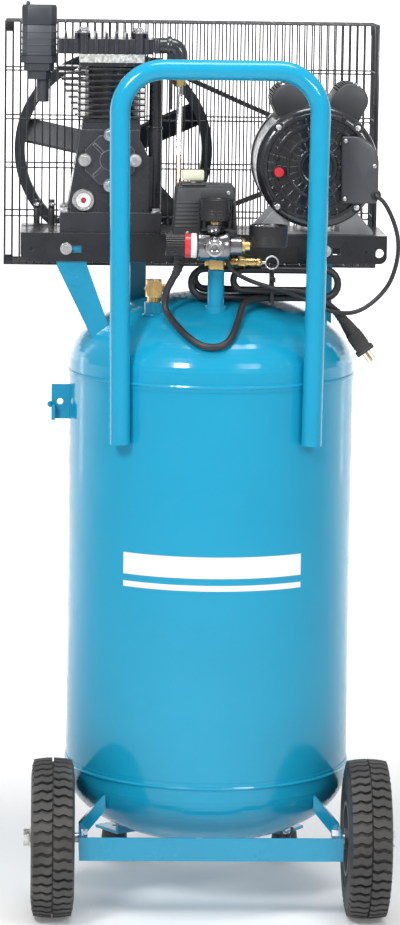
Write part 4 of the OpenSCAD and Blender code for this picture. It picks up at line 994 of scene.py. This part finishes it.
def build_knob():
    """The fluted knob with its red ring and white scale ring. The scale has no lettering."""
    knob = Shape()
    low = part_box("regulator_knob")[0].x
    start = placed(Vector((low, REGULATOR.y, REGULATOR.z)), "X")
    knob.prism(fluted(0.0178, 0.0013, 26), 0.029, start @ Matrix.Translation((0, 0, 0.001)))
    knob.solid([(0.015, 0), (0.0166, 0.0008), (0.0168, 0.03)], start, 48)
    knob.layer = 1
    knob.solid([(0.0184, 0.03), (0.019, 0.0308), (0.019, 0.0382), (0.0184, 0.039)], start, 48)
    knob.layer = 2
    knob.solid([(0.018, 0.0392), (0.0188, 0.04), (0.019, 0.0482), (0.0176, 0.049),
                (0.008, 0.049), (0.008, 0.078)], start, 48)
    for turn in spins(24):
        knob.box((0.0184, -0.0006, 0.041), (0.0193, 0.0006, 0.0475), 0.0002, start @ turn)
    knob.piece("regulator_knob_detail", [PLASTIC_DARK, RED, WHITE], "knob", "black_plastic",
               ("regulator_knob",), angle=28)


def build_casting():
    """The regulator's turned casting with its ports, ribs and rear bonnet."""
    body = Shape()
    body.lathe([(0.0125, -0.025), (0.0215, -0.025), (0.0232, -0.0235), (0.0235, -0.021), (0.0235, -0.006),
                (0.0225, -0.0045), (0.0225, 0.004), (0.0235, 0.0055), (0.0235, 0.02), (0.0215, 0.024),
                (0.015, 0.025), (0.014, 0.0262), (0.014, 0.0425), (0.0128, 0.044), (0, 0.044),
                (0, 0.014), (0.0125, 0.014), (0.0125, -0.025)], placed(REGULATOR, "X"), 64)
    body.lathe([(0, -0.0005), (0.01, 0.0), (0.01, 0.033), (0.012, 0.0335), (0.012, 0.0375),
                (0.01, 0.038), (0, 0.052)], placed(REGULATOR, "Y"), 32)
    body.lathe([(0, 0.01), (0.012, 0.0225), (0.011, 0.025), (0.011, 0.032), (0, 0.032)],
               placed(REGULATOR), 32)
    body.lathe([(0, 0.01), (0.0135, 0.02), (0.0125, 0.0228), (0, 0.0228)], placed(REGULATOR, "-Y"), 32)
    for turn in spins(4, math.pi / 4):
        body.lathe([(0, -0.004), (0.0045, -0.004), (0.0045, 0.01), (0, 0.011)],
                   placed(REGULATOR, "X") @ turn @ Matrix.Translation((0.0195, 0, -0.017)), 20)
    body.piece("regulator_casting", NICKEL, slot="regulator_cast", replaces=("regulator_body",))


def build_coupler():
    """The quick coupler with its knurled sleeve, on the regulator's front port."""
    coupler = Shape()
    front = placed(Vector((REGULATOR.x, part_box("outlet_coupler")[1].y, REGULATOR.z)), "-Y")
    coupler.hexagon(0.022, 0.008, front)
    coupler.lathe([(0.005, 0.004), (0.005, 0.0212), (0.0062, 0.022), (0.0105, 0.022), (0.012, 0.0208),
                   (0.012, 0.0196), (0.0135, 0.0192), (0.014, 0.0182), (0.014, 0.0092), (0.0132, 0.008),
                   (0.0118, 0.0076), (0.0118, 0.002), (0, 0.002), (0, 0.004), (0.005, 0.004)], front, 48)
    for turn in spins(36):
        coupler.box((0.0134, -0.0005, 0.01), (0.01425, 0.0005, 0.0176), 0.0002, front @ turn)
    coupler.piece("quick_coupler", CHROME, slot="chrome", replaces=("outlet_coupler",))


GAUGE_HEIGHT = 0.034


def build_gauge(shape, lens, x, r, low_z):
    """A gauge that faces up: its case, its dial with scale marks and a red band, and its lens."""
    place = placed(at(x, -200, low_z))
    h = GAUGE_HEIGHT
    shape.layer = 0
    shape.lathe([(0, 0.0006), (r - 0.003, 0.0), (r - 0.0008, 0.0012), (r - 0.0002, 0.003),
                 (r - 0.0002, h - 0.0095), (r, h - 0.0085), (r, h - 0.0008), (r - 0.001, h), (r - 0.0024, h),
                 (r - 0.003, h - 0.0012), (r - 0.0032, h - 0.008), (0, h - 0.008)], place, 64)
    for k in range(3):
        z = 0.007 + 0.0045 * k
        shape.lathe([(r - 0.0004, z - 0.0005), (r, z), (r - 0.0004, z + 0.0005)], place, 64)
    shape.layer = 1
    shape.solid([(r - 0.0033, h - 0.008), (r - 0.0033, h - 0.0077)],
                place, 48)
    shape.layer = 2
    for k in range(31):
        turn = Matrix.Rotation(math.radians(225 - 270 * k / 30), 4, "Z")
        inner = 0.0046 if k % 5 == 0 else 0.0024
        half = 0.00045 if k % 5 == 0 else 0.00022
        shape.box((r - 0.0048 - inner, -half, h - 0.0078), (r - 0.0048, half, h - 0.0075), 0, place @ turn)
    shape.layer = 3
    for k in range(18):
        turn = Matrix.Rotation(math.radians(-45 + 3.6 * k), 4, "Z")
        shape.box((r - 0.0046, -0.001, h - 0.0078), (r - 0.0038, 0.001, h - 0.0075), 0, place @ turn)
    lens.lathe([(0, h - 0.0016), (r - 0.0032, h - 0.0026), (r - 0.0032, h - 0.0014), (0, h - 0.0004)],
               place, 48)


def build_gauges():
    """The tank gauge and the outlet gauge, with the brass nuts they stand on."""
    shape, lens = Shape(), Shape()
    build_gauge(shape, lens, -6, 0.025, 1113)
    build_gauge(shape, lens, 77, 0.03, 1073)
    shape.layer = 4
    shape.hexagon(0.014, 0.0066, placed(at(-6, -200, 1106.2)))
    shape.hexagon(0.021, 0.0125, placed(at(28.4, -200, 1074), "X"))
    shape.solid([(0.0075, 0), (0.0075, 0.008)], placed(at(40, -200, 1074), "X"), 32)
    shape.piece("gauge_bodies", [PLASTIC_DARK, DIAL_WHITE, DIAL_BLACK, RED, BRASS], slot="black_plastic",
                replaces=("gauge_cases",))
    lens.piece("gauge_lenses", GLASS, slot="black_plastic")


def build_cross():
    """The brass cross on the riser, with a port on every side."""
    body = Shape()
    body.box(at(-12, -132, 1029.2), at(12, -108, 1055), 0.0022, segments=3)
    body.solid([(0.0105, 0), (0.0105, 0.0025), (0.009, 0.0035), (0.009, 0.0135)],
               placed(at(0, -120, 1054.5)), 32)
    body.solid([(0.0105, 0), (0.0112, 0.001), (0.0112, 0.006), (0.0085, 0.0072), (0.008, 0.01),
                (0.008, 0.042)], placed(at(0, -130, 1056), "-Y"), 32)
    for k in range(7):
        body.lathe([(0.0078, 0.0), (0.0086, 0.0008), (0.0078, 0.0016)],
                   placed(at(0, -146 - 2.2 * k, 1056), "-Y"), 32)
    body.solid([(0.0085, 0), (0.0085, 0.002), (0.007, 0.003), (0.007, 0.01)],
               placed(at(10, -120, 1041), "X"), 32)
    body.hexagon(0.016, 0.008, placed(at(-18, -120, 1041), "X"))
    body.piece("brass_cross", BRASS, slot="brass", replaces=("manifold",))


def build_safety_valve():
    """The safety valve's threaded stem, hexagon and stepped cap. Its pull ring is a CAD part."""
    valve = Shape()
    place = placed(at(0, -120, 1041), "X")
    valve.solid([(0.0062, 0.0202), (0.007, 0.021), (0.007, 0.0335)], place, 32)
    for k in range(5):
        z = 0.0227 + 0.002 * k
        valve.lathe([(0.0068, z - 0.0007), (0.0076, z), (0.0068, z + 0.0007)], place, 32)
    valve.hexagon(0.017, 0.012, place @ Matrix.Translation((0, 0, 0.034)))
    valve.solid([(0.0072, 0.0455), (0.0075, 0.0475), (0.0075, 0.06), (0.0066, 0.061),
                 (0.0066, 0.063), (0.0075, 0.064), (0.0075, 0.0685), (0.0052, 0.072), (0.003, 0.072)],
                place, 32)
    valve.piece("safety_valve_body", BRASS, slot="brass", replaces=("safety_valve",))


build_switch()
build_on_off_cap()
build_glands()
build_knob()
build_casting()
build_coupler()
build_gauges()
build_cross()
build_safety_valve()

# ------------------------------------------------------------------ tank details


def bead(shape, matrix, radius, thick, steps, ripple=0.12, waves=40):
    """A weld bead: a ring of rippled metal round local Z."""
    part = bmesh.new()
    sides = 8
    rings = []
    for i in range(steps):
        a = 2 * math.pi * i / steps
        r_here = thick * (1 + ripple * math.sin(waves * a) + ripple * 0.5 * math.sin(7 * a))
        rings.append([part.verts.new(((radius + r_here * math.cos(b)) * math.cos(a),
                                      (radius + r_here * math.cos(b)) * math.sin(a), r_here * math.sin(b)))
                      for b in (2 * math.pi * k / sides for k in range(sides))])
    for a, b in zip(rings, rings[1:] + rings[:1]):
        for k in range(sides):
            n = (k + 1) % sides
            part.faces.new((a[k], b[k], b[n], a[n]))
    bmesh.ops.recalc_face_normals(part, faces=part.faces[:])
    shape.absorb(part, matrix)


def weld_line(shape, path, thick, ripple=0.15):
    """A weld bead along a path of points."""
    fine = [a.lerp(b, k / 10) for a, b in zip(path, path[1:]) for k in range(10)] + [path[-1]]
    radii = [thick * (1 + ripple * math.sin(1.9 * i)) for i in range(len(fine))]
    shape.tube(fine, radii, 8)


def build_welds():
    """Beads round both girth seams and the two bosses, and along the handle's ends and the rear legs."""
    shape = Shape()
    for z in (855.2, 218.0):
        bead(shape, placed(at(0, 0, z)), TANK_R - 0.0004, 0.0034, 240, 0.1, 150)
    bead(shape, placed(at(0, -120, 962)), 0.0135, 0.003, 48)
    bead(shape, placed(at(-97, -100, 955)), 0.0152, 0.003, 48)
    for side in (-1, 1):
        for edge in (-1, 1):
            x = side * 150 + edge * 11
            y = -math.sqrt((TANK_R / MM) ** 2 - x * x) + 1
            weld_line(shape, [at(x, y, 772), at(x, y, 800), at(x, y, 824)], 0.0026)
        turn = math.atan2(200, side * 144)
        for edge in (-22, 22):
            p = Matrix.Rotation(turn, 2) @ Vector((214, edge))
            weld_line(shape, [at(p.x, p.y, 110), at(p.x, p.y, 135), at(p.x, p.y, 158)], 0.0022)
    shape.piece("weld_beads", BLUE, slot="blue_enamel")


STRIPES = ((554, 588), (534, 543))
STRIPE_WIDTH = 300
STRIPE_SHIFT = -3
STRIPE_STEPS = 36


def build_mark():
    """Two plain white stripes on the tank's front. They carry no lettering."""
    part = bmesh.new()
    r = TANK_R / MM
    for low, high in STRIPES:
        rows = []
        for k in range(STRIPE_STEPS + 1):
            a = -math.pi / 2 + (STRIPE_WIDTH * (k / STRIPE_STEPS - 0.5) + STRIPE_SHIFT) / r
            rows.append([part.verts.new(at((r + lift) * math.cos(a), (r + lift) * math.sin(a), z))
                         for lift, z in ((0.1, low), (0.55, low), (0.55, high), (0.1, high))])
        for row, following in zip(rows, rows[1:]):
            for k in range(4):
                n = (k + 1) % 4
                part.faces.new((row[k], row[n], following[n], following[k]))
        part.faces.new(rows[0])
        part.faces.new(rows[-1])
    bmesh.ops.recalc_face_normals(part, faces=part.faces[:])
    shape = Shape()
    shape.absorb(part)
    shape.piece("tank_mark", VINYL, slot="cream_plastic", angle=60)


build_welds()
build_mark()

# ------------------------------------------------------------------ pump details


def build_sight_glass():
    """The round oil window: a zinc rim, a white ring with four spokes, and a red dot in the middle."""
    low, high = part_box("sight_glass")
    centre = (low + high) / 2
    r = (high.x - low.x) / 2
    shape = Shape()
    place = placed(Vector((centre.x, high.y, centre.z)), "-Y")
    depth = high.y - low.y
    shape.layer = 0
    shape.solid([(r - 0.001, 0), (r, 0.0015), (r, depth - 0.0022), (r - 0.0016, depth),
                 (r - 0.0045, depth), (r - 0.0062, depth - 0.003)], place, 48)
    shape.layer = 1
    shape.solid([(r - 0.0064, depth - 0.003), (r - 0.0064, depth - 0.0012),
                 (r - 0.009, depth - 0.0012), (r - 0.0092, depth - 0.0024)], place, 40)
    shape.layer = 2
    shape.solid([(0.0032, depth - 0.0024), (0.0032, depth - 0.0018)],
                place, 24)
    shape.layer = 1
    for turn in spins(4, math.pi / 4):
        shape.box((0.004, -0.0016, depth - 0.0026), (0.0078, 0.0016, depth - 0.0018), 0.0003, place @ turn)
    shape.piece("sight_glass_detail", [ZINC, WHITE, RED], slot="chrome", replaces=("sight_glass",))


def build_filter():
    """The intake filter's cover: an eight-sided cap, a ribbed band painted paler as a highlight, a rim below
    and a screw on top.
    """
    x, y = at(-281, -10, 0).xy
    half = 0.028

    def cut(half_w, corner):
        return [(half_w, half_w - corner), (half_w - corner, half_w), (corner - half_w, half_w),
                (-half_w, half_w - corner), (-half_w, corner - half_w), (corner - half_w, -half_w),
                (half_w - corner, -half_w), (half_w, corner - half_w)]

    def level(z):
        return Matrix.Translation((x, y, z * MM))

    cover = Shape()
    cover.layer = 0
    cover.prism(cut(half, 0.009), 0.03, level(1405.5), bevel=0.0028, segments=3)
    cover.prism(cut(half - 0.0012, 0.009), 0.004, level(1433.0), bevel=0.0012)
    cover.lathe([(0, 0), (0.0034, 0), (0.0034, 0.0052), (0.0022, 0.007), (0, 0.0072)],
                Matrix.Translation(at(-299, -10, 1435.6)), 24)
    cover.layer = 1
    cover.prism(cut(half - 0.0008, 0.0085), 0.047, level(1358.6), bevel=0.0012)
    for k in range(4):
        cover.prism(cut(half + 0.0001, 0.0088), 0.0016, level(1364 + 10 * k), bevel=0.0005)
    cover.layer = 0
    cover.prism(cut(half, 0.009), 0.0042, level(1357.2), bevel=0.001)
    cover.piece("filter_cover_shell", [FILTER_GREY, FILTER_HIGHLIGHT_BAND], slot="black_plastic",
                replaces=("filter_cover",))


def build_elbow():
    """The cast elbow from the head's outlet down to the steel tube, with its union nut and vent stub."""
    shape = Shape()
    shape.box(at(-100.7, -73, 1364), at(-91, -43, 1389), 0.003, segments=3)
    bend = rounded([at(-94, -58, 1376.5), at(-59, -58, 1376.5), at(-59, -58, 1334)], 0.018, 10)
    shape.tube(bend, [0.0125] * len(bend), 32)
    shape.solid([(0.0142, 0), (0.015, 0.0015), (0.015, 0.0065), (0.0142, 0.008)],
                placed(at(-80, -58, 1376.5), "X"), 40)
    shape.solid([(0.0086, 0), (0.009, 0.001), (0.009, 0.03)],
                placed(at(-59, -58, 1326)), 32)
    shape.hexagon(0.024, 0.011, placed(at(-59, -58, 1338)))
    shape.solid([(0.0032, 0), (0.0032, 0.078), (0.006, 0.079), (0.006, 0.092)],
                placed(at(-73, -58, 1276)), 24)
    shape.piece("discharge_elbow_casting", IRON, slot="black_paint", replaces=("discharge_elbow",))


build_sight_glass()
build_filter()
build_elbow()

# ------------------------------------------------------------------ finishes of the CAD parts

FINISHES = (
    (BLUE, "tank_shell top_head bottom_head handle_tube"),
    (BLUE_EDGED, "axle_bracket rear_legs platform_struts"),
    (ZINC, "axle_bolts drain_valve m8_bolts safety_ring"),
    (RUBBER, "rubber_feet"),
    (BLACK, "drain_handle platform_deck breather_tube"),
    (IRON, "crankcase cylinder_head discharge_elbow"),
    (COVER_IRON, "front_cover"),
    (CHROME, "sight_glass outlet_coupler"),
    (FINS, "cylinder_block"),
    (ALUMINIUM, "valve_plate connecting_rod piston manifold regulator_body"),
    (FILTER_GREY, "filter_base filter_cover"),
    (STEEL, "discharge_tube"),
    (COPPER, "copper_tube"),
    (BRASS, "brass_fittings safety_valve"),
    (MACHINED, "crankshaft motor_rotor stator"),
    (FLYWHEEL, "flywheel motor_pulley"),
    (BELT, "v_belt"),
    (SHELL_GREY, "motor_shell"),
    (GREY_PAINT, "motor_bells motor_covers"),
    (RED, "reset_button tank_needle outlet_needle"),
    (WIRE, "guard_front guard_rear"),
    (PLASTIC, "switch_base switch_cover"),
    (CREAM, "on_off_cap"),
    (PLASTIC_DARK, "regulator_knob gauge_cases"),
    (TYRE, "left_tyre right_tyre"),
    (RIM_PAINT, "left_rim right_rim"),
)

for finish, nodes in FINISHES:
    for node in nodes.split():
        data = NODES[node].data
        if not data.materials:
            data.materials.append(finish)
        for index in range(len(data.materials)):
            data.materials[index] = finish

# ------------------------------------------------------------------ floor, backdrop and lights

FLOOR_GLOW = 0.12
WALL_GLOW = 1.0
SURROUND = 0.45
SOFT_BOXES = (("key_softbox", at(-1300, -2500, 2500), (0.6, 0.7), 60),
              ("fill_softbox", at(1500, -2700, 2100), (0.9, 0.5), 26),
              ("top_softbox", at(200, -500, 3300), (1.6, 0.8), 40),
              ("left_strip", at(-2500, 2000, 1300), (0.35, 2.2), 4),
              ("right_strip", at(2500, 2000, 1300), (0.35, 2.2), 3))


def build_stage():
    """A pale floor that brightens behind the object up to a far wall, soft boxes, and an even surround."""
    low, back, top, half = -30.0, 18.0, 4.5, 30.0
    corners = [(low, 0.0), (back, 0.0), (back, top)]
    verts = [(side * half, y, z - 0.0006) for y, z in corners for side in (-1, 1)]
    mesh = bpy.data.meshes.new("backdrop")
    mesh.from_pydata(verts, [], [(0, 1, 3, 2), (2, 3, 5, 4)])
    g = Graph("pale_backdrop")
    g.link(g.ramp(g.noise(3, 5), (0.86, 0.86, 0.86, 1), (0.9, 0.9, 0.9, 1)), g.shader.inputs["Base Color"])
    g.set("Roughness", 0.8)
    split = g.add("ShaderNodeSeparateXYZ")
    g.link(g.coords, split.inputs["Vector"])
    rise = g.add("ShaderNodeMapRange", interpolation_type="SMOOTHSTEP")
    rise.inputs["From Min"].default_value = 0.2
    rise.inputs["From Max"].default_value = 3.0
    rise.inputs["To Min"].default_value = FLOOR_GLOW
    rise.inputs["To Max"].default_value = WALL_GLOW
    g.link(split.outputs["Y"], rise.inputs["Value"])
    g.set("Emission Color", (1, 1, 1, 1))
    g.link(rise.outputs["Result"], g.shader.inputs["Emission Strength"])
    mesh.materials.append(g.material)
    backdrop = bpy.data.objects.new("backdrop", mesh)
    bpy.context.scene.collection.objects.link(backdrop)

    world = bpy.data.worlds.new("studio")
    bpy.context.scene.world = world
    world.use_nodes = True
    background = world.node_tree.nodes["Background"]
    background.inputs["Color"].default_value = (1.0, 1.0, 1.0, 1)
    background.inputs["Strength"].default_value = SURROUND

    for name, place, size, power in SOFT_BOXES:
        light = bpy.data.lights.new(name, "AREA")
        light.shape = "RECTANGLE"
        light.size, light.size_y = size
        light.energy = power
        lamp = bpy.data.objects.new(name, light)
        aim = at(0, 0, 850) - place
        lamp.matrix_world = Matrix.Translation(place) @ aim.to_track_quat("-Z", "Y").to_matrix().to_4x4()
        bpy.context.scene.collection.objects.link(lamp)
    bpy.context.scene.view_settings.view_transform = "Standard"


build_stage()
